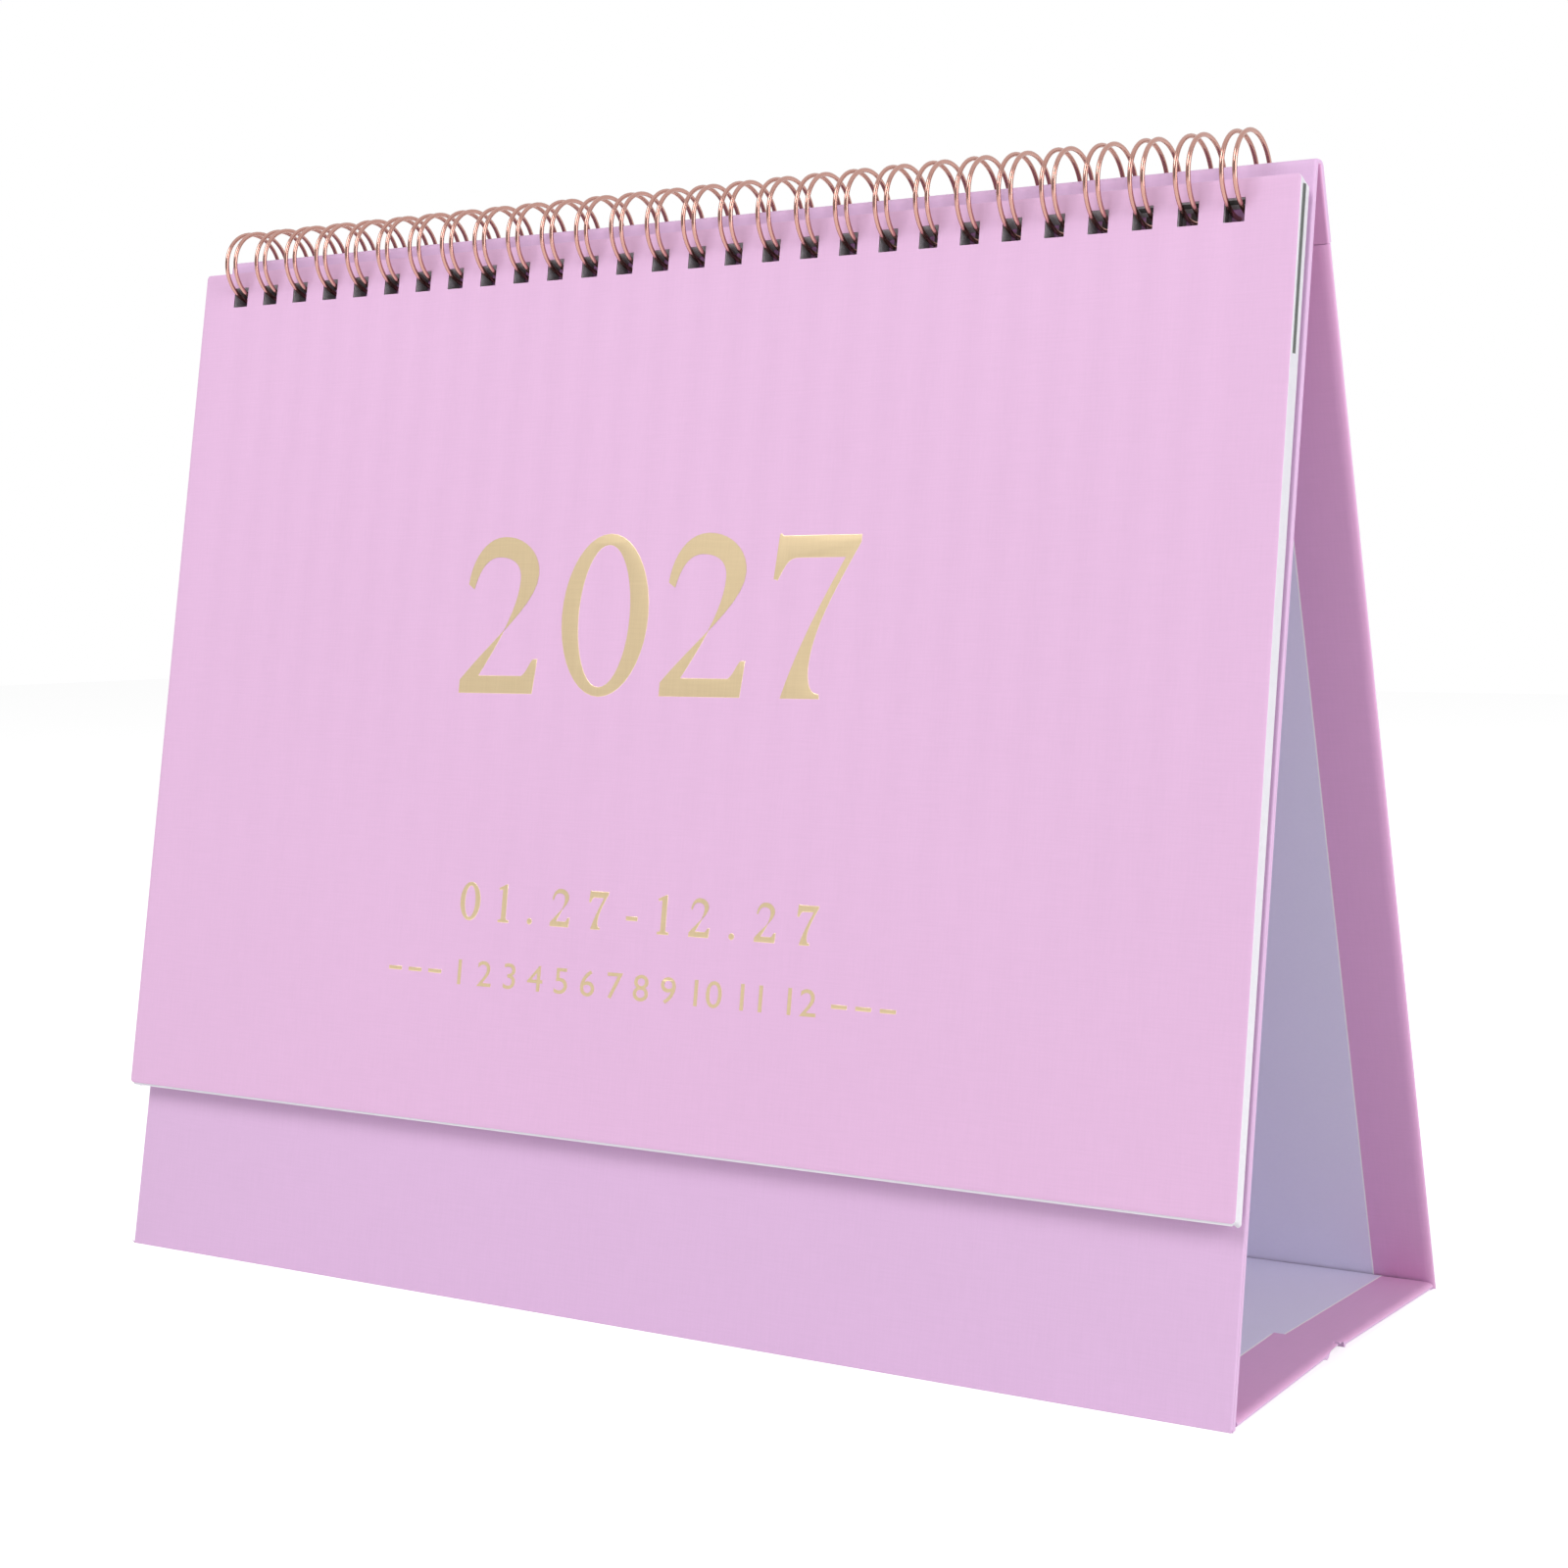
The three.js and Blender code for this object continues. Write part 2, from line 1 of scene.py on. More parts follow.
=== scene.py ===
"""Desk calendar on a folding board stand: the visible surfaces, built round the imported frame.

Lengths are metres in the frame's axes: +X to the reader's right, +Y to the back, +Z up. The
stand's side profile comes from the frame's boxes and joint axes, and each sheet lies in the plane
of its own node.
"""

import calendar
import json
import logging
import math
from collections.abc import Callable, Iterable, Sequence
from dataclasses import dataclass, field
from enum import Enum
from itertools import accumulate

import bmesh
import bpy
from bpy.types import Material, Mesh, Node, NodeSocket, NodeTree, Object
from mathutils import Matrix, Vector


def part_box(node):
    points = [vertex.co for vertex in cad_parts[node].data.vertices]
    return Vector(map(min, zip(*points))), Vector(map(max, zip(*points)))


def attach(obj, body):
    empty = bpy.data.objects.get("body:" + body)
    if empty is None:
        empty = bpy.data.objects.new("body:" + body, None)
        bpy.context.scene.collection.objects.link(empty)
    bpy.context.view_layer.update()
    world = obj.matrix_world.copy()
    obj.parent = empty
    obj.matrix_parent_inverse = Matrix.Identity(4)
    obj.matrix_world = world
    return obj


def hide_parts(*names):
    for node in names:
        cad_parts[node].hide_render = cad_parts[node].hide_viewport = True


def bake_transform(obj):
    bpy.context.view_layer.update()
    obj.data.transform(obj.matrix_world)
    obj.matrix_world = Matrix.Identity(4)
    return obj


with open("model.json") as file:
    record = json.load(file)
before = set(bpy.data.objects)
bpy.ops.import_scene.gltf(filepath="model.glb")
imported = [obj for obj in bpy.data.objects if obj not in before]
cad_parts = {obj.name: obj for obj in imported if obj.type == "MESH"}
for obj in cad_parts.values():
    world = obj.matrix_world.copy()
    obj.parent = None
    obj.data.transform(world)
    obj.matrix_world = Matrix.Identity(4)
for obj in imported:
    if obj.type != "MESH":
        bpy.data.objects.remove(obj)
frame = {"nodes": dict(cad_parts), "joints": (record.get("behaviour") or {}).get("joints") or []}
log = logging.getLogger("desk_calendar")

MM = 0.001
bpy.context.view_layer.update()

# Driving sizes that the frame's boxes don't give
FRONT_TILT = math.radians(9.48)
SPINE_WIDTH = 3.5 * MM
SPINE_RADIUS = 1.6 * MM
STRIP_LENGTH = 14 * MM
SKIN_DEPTH = 1.52 * MM
SKIN_THICKNESS = 0.11 * MM
INNER_DEPTH = 0.9 * SKIN_DEPTH
FOLD_CLEARANCE = 0.4 * MM
HOLE_PITCH = 25.4 / 3 * MM
HOLE_COUNT = 28
HOLE_WIDTH = 3.8 * MM
HOLE_HEIGHT = 4.15 * MM
HOLE_TOP_MARGIN = 3.35 * MM
HOLE_ROW_SHIFT = -1.5 * MM
RING_HALF_DEPTH = 8.1 * MM
RING_HALF_HEIGHT = 7.45 * MM
MONTHS = 12
YEAR = 2027
DAYS_PER_WEEK = 7

# Scales of the finishes' textures, per metre
WEAVE_SCALE = 2600.0
THREAD_SCALE = 150.0
FIBRE_SCALE = 1800.0

# Below these two places count as one
NEAR = 1e-6
DIGITS = 7

Colour = tuple[float, float, float, float]


class Body(str, Enum):
    """The moving bodies that pieces ride on, apart from the months."""

    FRONT = "front_panel"
    COVER = "cover"
    BASE_FRONT = "base_front"
    BASE_REAR = "base_rear"
    BACK = "back_panel"


class Slot(str, Enum):
    """The record's material slot names; the pieces here take their own materials instead."""

    WRAP = "pink_wrap"
    COVER = "pink_cover"
    BOARD = "greyboard"
    PAPER = "month_paper"
    WIRE = "rose_gold_wire"


def srgb(red: int, green: int, blue: int) -> Colour:
    """A colour given in screen values of 0 to 255, as the linear colour that shaders take.

    Args:
        red: Screen value of the red channel.
        green: Screen value of the green channel.
        blue: Screen value of the blue channel.

    Returns:
        The linear colour, with an alpha of 1.
    """

    def linear(value: int) -> float:
        """One channel from its screen value."""
        share = value / 255
        return share / 12.92 if share <= 0.04045 else ((share + 0.055) / 1.055) ** 2.4

    return (linear(red), linear(green), linear(blue), 1.0)


def shaded(colour: Colour, *factors: float) -> Colour:
    """A colour times one factor, or one for each channel, and no lighter than white."""
    channels = (min(value * factor, 1.0) for value, factor in zip(colour[:3], factors * 3))
    return (*channels, 1.0)


# Finishes


class Graph:
    """A node tree under construction: adds nodes and joins their sockets."""

    def __init__(self, tree: NodeTree) -> None:
        """Takes the tree that nodes are added to."""
        self.tree = tree

    def feed(self, node: Node, inputs: dict) -> None:
        """Gives a node's inputs, by name or index, their values or the sockets that feed them.

        Args:
            node: The node.
            inputs: Socket name or index to a value or an output socket.
        """
        for key, value in inputs.items():
            if isinstance(value, NodeSocket):
                self.tree.links.new(value, node.inputs[key])
            else:
                node.inputs[key].default_value = value

    def add(self, kind: str, inputs: dict | None = None, **settings: object) -> Node:
        """Adds one node.

        Args:
            kind: The node's type name.
            inputs: Socket name or index to a value, or to the output socket that feeds it.
            settings: Attributes of the node.

        Returns:
            The new node.
        """
        node = self.tree.nodes.new(kind)
        for name, value in settings.items():
            setattr(node, name, value)
        self.feed(node, inputs or {})
        return node

    def math(self, operation: str, *values: object) -> NodeSocket:
        """The result of one math operation on values or sockets."""
        return self.add("ShaderNodeMath", dict(enumerate(values)), operation=operation).outputs[0]

    def vector(self, parts: dict[int, object]) -> NodeSocket:
        """A vector with some of its parts given, by index."""
        return self.add("ShaderNodeCombineXYZ", parts).outputs[0]


class Surface(Graph):
    """A surface material under construction."""

    def __init__(self, name: str) -> None:
        """Makes the material, with its shader and its texture coordinates.

        Args:
            name: The material's name.
        """
        self.material = bpy.data.materials.new(name)
        self.material.use_nodes = True
        super().__init__(self.material.node_tree)
        self.coordinates = self.add("ShaderNodeTexCoord").outputs

    def mix(self, share: object, first: object, second: object) -> NodeSocket:
        """A colour that goes from the first to the second with the share."""
        node = self.add("ShaderNodeMix", {0: share, 6: first, 7: second}, data_type="RGBA")
        return node.outputs[2]

    def blend(self, first: NodeSocket, second: NodeSocket, share: float) -> NodeSocket:
        """Two values added up, the first by its share and the second by the rest."""
        part = self.math("MULTIPLY", first, share)
        return self.math("ADD", part, self.math("MULTIPLY", second, 1 - share))

    def scaled(self, place: NodeSocket, scale: Sequence[float]) -> NodeSocket:
        """A coordinate scaled by its own factor on each axis."""
        return self.add("ShaderNodeMapping", {"Vector": place, "Scale": scale}).outputs[0]

    def noise(self, place: NodeSocket, scale: float, detail: float = 2.0) -> NodeSocket:
        """A noise value of 0 to 1 at a coordinate."""
        inputs = {"Vector": place, "Scale": scale, "Detail": detail}
        return self.add("ShaderNodeTexNoise", inputs).outputs["Fac"]

    def weave(self, place: NodeSocket) -> NodeSocket:
        """The height of a linen weave, from 0 to 1: noise that is drawn out along each thread.

        Args:
            place: The coordinate that the weave follows.

        Returns:
            The height's socket.
        """
        warp, weft = (
            self.noise(self.scaled(place, (across, along, along)), 1.0, 1.5)
            for across, along in ((WEAVE_SCALE, THREAD_SCALE), (THREAD_SCALE, WEAVE_SCALE))
        )
        return self.math("MULTIPLY", self.math("ADD", warp, weft), 0.5)

    def relief(self, height: NodeSocket, distance: float, strength: float) -> NodeSocket:
        """The shading normal of a surface whose height varies by a distance."""
        inputs = {"Height": height, "Distance": distance, "Strength": strength}
        return self.add("ShaderNodeBump", inputs).outputs[0]

    def finish(self, inputs: dict[str, object]) -> Material:
        """Gives the shader its inputs and hands over the material."""
        self.feed(self.tree.nodes["Principled BSDF"], inputs)
        return self.material


@dataclass(frozen=True)
class Finish:
    """A named finish with its main colour."""

    name: str
    colour: Colour


@dataclass(frozen=True)
class LinenPaper(Finish):
    """Matt paper embossed with a fine linen weave."""

    emboss: float = 0.045 * MM
    contrast: float = 0.07
    roughness: float = 0.62

    def build(self) -> Material:
        """Makes the material, whose weave follows the UV map.

        Returns:
            The material.
        """
        surface = Surface(self.name)
        place = surface.coordinates["UV"]
        weave = surface.weave(place)
        shade = surface.blend(weave, surface.noise(place, 14.0), 0.7)
        low, high = 1 - self.contrast, 1 + self.contrast
        dark = shaded(self.colour, low, low * 0.99, low)
        return surface.finish({
            "Base Color": surface.mix(shade, dark, shaded(self.colour, high)),
            "Normal": surface.relief(weave, self.emboss, 0.55),
            "Roughness": surface.math("MULTIPLY_ADD", weave, 0.12, self.roughness - 0.06),
            "Sheen Weight": 0.06,
            "Specular IOR Level": 0.35,
        })


@dataclass(frozen=True)
class SmoothPaper(Finish):
    """Smooth uncoated or coated paper with a faint fibre texture."""

    roughness: float = 0.6
    # Width of a painted highlight along both ends, for light caught on the cut edge
    border: float = 0.0
    half_width: float = 0.0
    middle: float = 0.0

    def build(self) -> Material:
        """Makes the material, with a painted highlight along both ends where its width is set.

        Returns:
            The material.
        """
        surface = Surface(self.name)
        place = surface.coordinates["Object"]
        fibre = surface.noise(place, FIBRE_SCALE, 3.0)
        shade = surface.blend(fibre, surface.noise(place, 11.0), 0.5)
        dark = shaded(self.colour, 0.955, 0.955, 0.965)
        colour = surface.mix(shade, dark, shaded(self.colour, 1.035, 1.035, 1.03))
        # Painted highlight: the paper turns white near both ends, for light caught on its cut edge
        if self.border:
            x = surface.add("ShaderNodeSeparateXYZ", {0: place}).outputs[0]
            offset = surface.math("ABSOLUTE", surface.math("SUBTRACT", x, self.middle))
            near = surface.math("GREATER_THAN", offset, self.half_width - self.border)
            colour = surface.mix(near, colour, (1.0, 1.0, 1.0, 1.0))
        return surface.finish({
            "Base Color": colour,
            "Normal": surface.relief(fibre, 0.01 * MM, 0.3),
            "Roughness": self.roughness,
            "Specular IOR Level": 0.4,
        })


@dataclass(frozen=True)
class BledPaper(Finish):
    """Month paper with a muted block that is printed to its right edge near the top."""

    block: Colour
    right_edge: float
    top: float
    block_width: float = 30 * MM
    block_top_drop: float = 0.9 * MM
    block_foot_drop: float = 29.6 * MM

    def build(self) -> Material:
        """Makes the material, placed by the sheet's own edges.

        Returns:
            The material.
        """
        surface = Surface(self.name)
        place = surface.coordinates["Object"]
        x, _, z = surface.add("ShaderNodeSeparateXYZ", {0: place}).outputs
        fibre = surface.noise(place, FIBRE_SCALE, 3.0)
        right = surface.math("GREATER_THAN", x, self.right_edge - self.block_width)
        below = surface.math("LESS_THAN", z, self.top - self.block_top_drop)
        above = surface.math("GREATER_THAN", z, self.top - self.block_foot_drop)
        inside = surface.math("MULTIPLY", right, surface.math("MULTIPLY", below, above))
        pale = surface.mix(fibre, shaded(self.colour, 0.95), self.colour)
        ink = surface.mix(fibre, shaded(self.block, 0.9), self.block)
        return surface.finish({
            "Base Color": surface.mix(inside, pale, ink),
            "Normal": surface.relief(fibre, 0.01 * MM, 0.3),
            "Roughness": 0.5,
        })


@dataclass(frozen=True)
class RawBoard(Finish):
    """Grey pulp board, speckled and rough."""

    def build(self) -> Material:
        """Makes the material.

        Returns:
            The material.
        """
        surface = Surface(self.name)
        place = surface.coordinates["Object"]
        layers = surface.noise(surface.scaled(place, (400.0, 4000.0, 4000.0)), 1.0, 4.0)
        dark, light = shaded(self.colour, 0.6), shaded(self.colour, 1.3)
        return surface.finish({
            "Base Color": surface.mix(layers, dark, light),
            "Normal": surface.relief(layers, 0.05 * MM, 0.6),
            "Roughness": 0.95,
        })


@dataclass(frozen=True)
class PressedFoil(Finish):
    """Gold foil pressed into the linen weave."""

    def build(self) -> Material:
        """Makes the material.

        Returns:
            The material.
        """
        surface = Surface(self.name)
        weave = surface.weave(surface.coordinates["Object"])
        dark = shaded(self.colour, 0.86, 0.84, 0.78)
        return surface.finish({
            "Base Color": surface.mix(weave, dark, self.colour),
            "Normal": surface.relief(weave, 0.03 * MM, 0.5),
            "Metallic": 0.85,
            "Roughness": 0.38,
        })


@dataclass(frozen=True)
class PlatedWire(Finish):
    """Polished rose-gold plating with fine drawing marks along the wire."""

    def build(self) -> Material:
        """Makes the material.

        Returns:
            The material.
        """
        surface = Surface(self.name)
        marks = surface.noise(surface.coordinates["Object"], 900.0, 3.0)
        dark = shaded(self.colour, 0.88, 0.82, 0.8)
        return surface.finish({
            "Base Color": surface.mix(marks, dark, self.colour),
            "Roughness": surface.math("MULTIPLY_ADD", marks, 0.12, 0.14),
            "Metallic": 1.0,
        })


@dataclass(frozen=True)
class Ink(Finish):
    """Flat printing ink."""

    def build(self) -> Material:
        """Makes the material.

        Returns:
            The material.
        """
        surface = Surface(self.name)
        grain = surface.noise(surface.coordinates["Object"], 3000.0)
        light = shaded(self.colour, 1.25)
        return surface.finish({
            "Base Color": surface.mix(grain, self.colour, light), "Roughness": 0.5,
        })


COVER_PINK = srgb(236, 193, 230)
# A little darker and bluer than the cover's pink: painted shade of the stand's lower front, under
# the cover
WRAP_SHADED_PINK = srgb(231, 193, 231)
# Deeper and more saturated than the wrap, though it is the same paper: painted shade and pink
# bounce light inside the stand
TURN_IN_PAINTED_SHADE_PINK = srgb(236, 182, 223)
LINING_WHITE = srgb(238, 234, 255)
PAPER_WHITE = srgb(249, 247, 254)


# Side profile


@dataclass(frozen=True)
class Panel:
    """One straight board of the side profile, in (y, z). Depth runs inwards from its outer face."""

    start: Vector
    end: Vector

    @property
    def length(self) -> float:
        """Distance from start to end."""
        return (self.end - self.start).length

    @property
    def along(self) -> Vector:
        """Unit vector from start to end."""
        return (self.end - self.start).normalized()

    @property
    def inward(self) -> Vector:
        """Unit vector from the outer face into the board."""
        return Vector((self.along.y, -self.along.x))

    def at(self, distance: float, depth: float) -> Vector:
        """The point at a distance along the outer face and a depth below it."""
        return self.start + self.along * distance + self.inward * depth

    def at_height(self, height: float, depth: float) -> Vector:
        """The point at a depth whose height above the floor is given."""
        return self.at((height - self.at(0, depth).y) / self.along.y, depth)

    def distance_of(self, point: Vector) -> float:
        """How far along the panel a point lies."""
        return (point - self.start).dot(self.along)

    def depth_of(self, point: Vector) -> float:
        """How deep a point lies below the outer face."""
        return (point - self.start).dot(self.inward)

    def meet(self, other: "Panel", depth: float) -> Vector:
        """Where this panel and another meet, each measured at the same depth."""
        gap = depth - other.depth_of(self.at(0, depth))
        return self.at(gap / self.along.dot(other.inward), depth)


def arc(centre: Vector, radius: float, start: float, end: float, steps: int) -> list[Vector]:
    """Points of an arc.

    Args:
        centre: Its centre.
        radius: Its radius.
        start: Angle of the first point.
        end: Angle of the last point.
        steps: Number of stretches between the points.

    Returns:
        The points, from start to end.
    """
    angles = (start + (end - start) * index / steps for index in range(steps + 1))
    return [centre + Vector((math.cos(a), math.sin(a))) * radius for a in angles]


def rounded_corner(first: Panel, second: Panel, radius: float, steps: int) -> list[Vector]:
    """The rounded outer corner where one panel runs into the next.

    Args:
        first: The panel before the corner.
        second: The panel after it.
        radius: Radius of the rounding.
        steps: Number of stretches in it.

    Returns:
        The corner's points.
    """
    centre = first.meet(second, radius)
    start = math.atan2(-first.inward.y, -first.inward.x)
    turn = -first.along.angle(second.along)
    return arc(centre, radius, start, start + turn, steps)


def eased(points: Sequence[Vector], index: int, radius: float, steps: int = 3) -> list[Vector]:
    """One corner of an outline, cut back by a radius and rounded.

    Args:
        points: The outline's corners.
        index: Which corner.
        radius: How far the corner is cut back along each side.
        steps: Number of stretches in the rounding.

    Returns:
        The points that take the corner's place.
    """
    corner = points[index]
    before = (points[index - 1] - corner).normalized() * radius
    after = (points[(index + 1) % len(points)] - corner).normalized() * radius
    shares = [step / steps for step in range(steps + 1)]
    return [corner + before * (1 - t) ** 2 + after * t**2 for t in shares]


@dataclass
class StandProfile:
    """The stand's side profile, from the frame's boxes and joint axes."""

    foot: Vector = field(init=False)
    rear_foot: Vector = field(init=False)
    height: float = field(init=False)
    left: float = field(init=False)
    right: float = field(init=False)
    middle: float = field(init=False)
    ring: Vector = field(init=False)
    crease: Vector = field(init=False)
    front: Panel = field(init=False)
    spine: Panel = field(init=False)
    back: Panel = field(init=False)
    base_rear: Panel = field(init=False)
    base_front: Panel = field(init=False)
    lift: float = 0.1 * MM

    def __post_init__(self) -> None:
        """Reads the frame and lays out the panels."""
        low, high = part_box("front_wrap")
        self.left, self.right, self.height = low.x, high.x, high.z
        self.middle = (low.x + high.x) / 2
        self.foot = Vector((low.y, 0))
        self.rear_foot = Vector((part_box("back_wrap")[1].y, 0))
        places = {joint["name"]: joint["pos_m"] for joint in frame["joints"]}
        self.ring = Vector(places["cover_turn"][1:])
        self.crease = Vector(places["base_crease_turn"][1:])
        spine_front = Vector((self.foot.x + self.height * math.tan(FRONT_TILT), self.height))
        spine_back = spine_front + Vector((SPINE_WIDTH, 0))
        self.front = Panel(self.foot, spine_front)
        self.spine = Panel(spine_front, spine_back)
        self.back = Panel(spine_back, self.rear_foot)
        lifted = Vector((0, self.lift))
        self.base_rear = Panel(self.rear_foot + lifted, self.crease)
        self.base_front = Panel(self.crease, self.foot + lifted)

    def ring_crossing(self, panel: Panel) -> float:
        """Distance along a panel at which the loops pass through it, below the ring's centre.

        Args:
            panel: The front or the back panel.

        Returns:
            The distance from the panel's start.
        """
        start = panel.at(0, SKIN_DEPTH / 2) - self.ring
        start = Vector((start.x / RING_HALF_DEPTH, start.y / RING_HALF_HEIGHT))
        along = Vector((panel.along.x / RING_HALF_DEPTH, panel.along.y / RING_HALF_HEIGHT))
        nearest = -start.dot(along) / along.length_squared
        reach = math.sqrt(nearest**2 - (start.length_squared - 1) / along.length_squared)
        return nearest + (-reach if panel is self.front else reach)

    def hole_span(self, panel: Panel) -> tuple[float, float]:
        """Where the holes start and end along a panel."""
        middle = self.ring_crossing(panel)
        return middle - HOLE_HEIGHT / 2, middle + HOLE_HEIGHT / 2

    def hole_centres(self) -> list[float]:
        """The X of each hole's middle."""
        first = self.middle + HOLE_ROW_SHIFT - HOLE_PITCH * (HOLE_COUNT - 1) / 2
        return [first + HOLE_PITCH * index for index in range(HOLE_COUNT)]


# Mesh helpers


def finish_piece(obj: Object, body: str, node: str = "") -> None:
    """Hangs a finished piece on the body that it rides on and hides the CAD node that it stands
    for.

    Args:
        obj: The piece.
        body: The moving body that it rides on.
        node: The CAD node that it stands for, if any.
    """
    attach(obj, body)
    if node:
        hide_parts(node)
    log.info("%s rides on %s, %d faces", obj.name, body, len(obj.data.polygons))


def placed(name: str, data: bpy.types.ID) -> Object:
    """A new object for its data, in the scene.

    Args:
        name: The object's name.
        data: Its mesh, curve, lamp or camera.

    Returns:
        The new object.
    """
    obj = bpy.data.objects.new(name, data)
    bpy.context.scene.collection.objects.link(obj)
    return obj


def new_object(name: str, mesh: Mesh, *materials: Material) -> Object:
    """An object for a mesh, in the scene, with its materials.

    Args:
        name: The object's and the mesh's name.
        mesh: The mesh.
        materials: Its materials, in the order of their slots.

    Returns:
        The new object.
    """
    mesh.name = name
    if mesh.materials:
        mesh.materials.clear()
    for material in materials:
        mesh.materials.append(material)
    return placed(name, mesh)


def plain_mesh(name: str, shape: bmesh.types.BMesh) -> Mesh:
    """A new mesh from one under construction, which is freed.

    Args:
        name: The mesh's name.
        shape: The mesh under construction.

    Returns:
        The new mesh.
    """
    mesh = bpy.data.meshes.new(name)
    shape.to_mesh(mesh)
    shape.free()
    return mesh


def final_mesh(obj: Object) -> Mesh:
    """An object's final shape as a new plain mesh.

    Args:
        obj: The object.

    Returns:
        The mesh.
    """
    bpy.context.view_layer.update()
    final = obj.evaluated_get(bpy.context.evaluated_depsgraph_get())
    return bpy.data.meshes.new_from_object(final)


def bake_modifiers(obj: Object) -> None:
    """Turns an object's modifiers into plain mesh and removes them."""
    plain = final_mesh(obj)
    obj.modifiers.clear()
    obj.data = plain


def smooth_by_angle(mesh: Mesh, degrees: float) -> None:
    """Smooth shading with sharp edges where faces meet at more than an angle."""
    mesh.shade_smooth()
    mesh.set_sharp_from_angle(angle=math.radians(degrees))


def inset_outline(outline: Sequence[Vector], amounts: Sequence[float]) -> list[Vector]:
    """A closed outline whose sides move inwards, each by its own distance.

    Args:
        outline: Its corners, clockwise.
        amounts: How far each side moves, the first side starting at the first corner.

    Returns:
        The moved corners.
    """
    count = len(outline)
    moved = []
    for index, point in enumerate(outline):
        before = (point - outline[index - 1]).normalized()
        after = (outline[(index + 1) % count] - point).normalized()
        first = Vector((before.y, -before.x))
        second = Vector((after.y, -after.x))
        one, two = amounts[index - 1], amounts[index]
        turn = first.x * second.y - first.y * second.x
        if abs(turn) < 0.02:
            moved.append(point + (first + second) * (one + two) / 4)
            continue
        shift = Vector((one * second.y - two * first.y, two * first.x - one * second.x))
        moved.append(point + shift / turn)
    return moved


def thinned(panel: Panel, point: Vector, inset: float) -> Vector:
    """A point of a panel's section moved towards the middle of its thickness.

    Args:
        panel: The panel that it belongs to.
        point: Where it is.
        inset: How far a point on either face moves.

    Returns:
        Where it goes.
    """
    offset = panel.depth_of(point) - SKIN_DEPTH / 2
    return point - panel.inward * (offset * inset / (SKIN_DEPTH / 2))


def swept(
    outline: Sequence[Vector],
    sections: Sequence[tuple[float, Sequence[Vector]]],
    finish_of: Callable[[float, float, Vector, Vector], int | None] = lambda *side: 0,
) -> bmesh.types.BMesh:
    """A side profile carried along X, with a UV map that runs round it and closed ends.

    Args:
        outline: The closed profile in (y, z), as it is where nothing draws it in.
        sections: Each X where the profile is drawn, with its points there.
        finish_of: The material index of a side, from its first and last X and the outline's
            points along it, or None where the side stays open.

    Returns:
        The mesh under construction.
    """
    count = len(outline)
    lengths = [0.0]
    for index, point in enumerate(outline):
        lengths.append(lengths[-1] + (outline[(index + 1) % count] - point).length)
    shape = bmesh.new()
    uv = shape.loops.layers.uv.new("UVMap")
    rings = [[shape.verts.new((x, p.x, p.y)) for p in points] for x, points in sections]
    for column in range(len(sections) - 1):
        low, high = sections[column][0], sections[column + 1][0]
        for index in range(count):
            after = (index + 1) % count
            finish = finish_of(low, high, outline[index], outline[after])
            if finish is None:
                continue
            corners = (
                (column, index, low, lengths[index]),
                (column, after, low, lengths[index + 1]),
                (column + 1, after, high, lengths[index + 1]),
                (column + 1, index, high, lengths[index]),
            )
            face = shape.faces.new([rings[c][i] for c, i, _, _ in corners])
            face.material_index = finish
            for loop, (_, _, u, v) in zip(face.loops, corners):
                loop[uv].uv = (u, v)
    for ring in (rings[0], list(reversed(rings[-1]))):
        cap = shape.faces.new(ring)
        for loop in cap.loops:
            loop[uv].uv = (loop.vert.co.y, loop.vert.co.z)
    bmesh.ops.recalc_face_normals(shape, faces=shape.faces)
    return shape


def prism(
    name: str, outline: Sequence[Vector], low: float, high: float, material: Material
) -> Object:
    """A solid with one side profile from end to end.

    Args:
        name: The object's name.
        outline: The closed profile in (y, z).
        low: X of its left end.
        high: X of its right end.
        material: Its finish.

    Returns:
        The new object.
    """
    shape = swept(outline, [(low, outline), (high, outline)])
    return new_object(name, plain_mesh(name, shape), material)


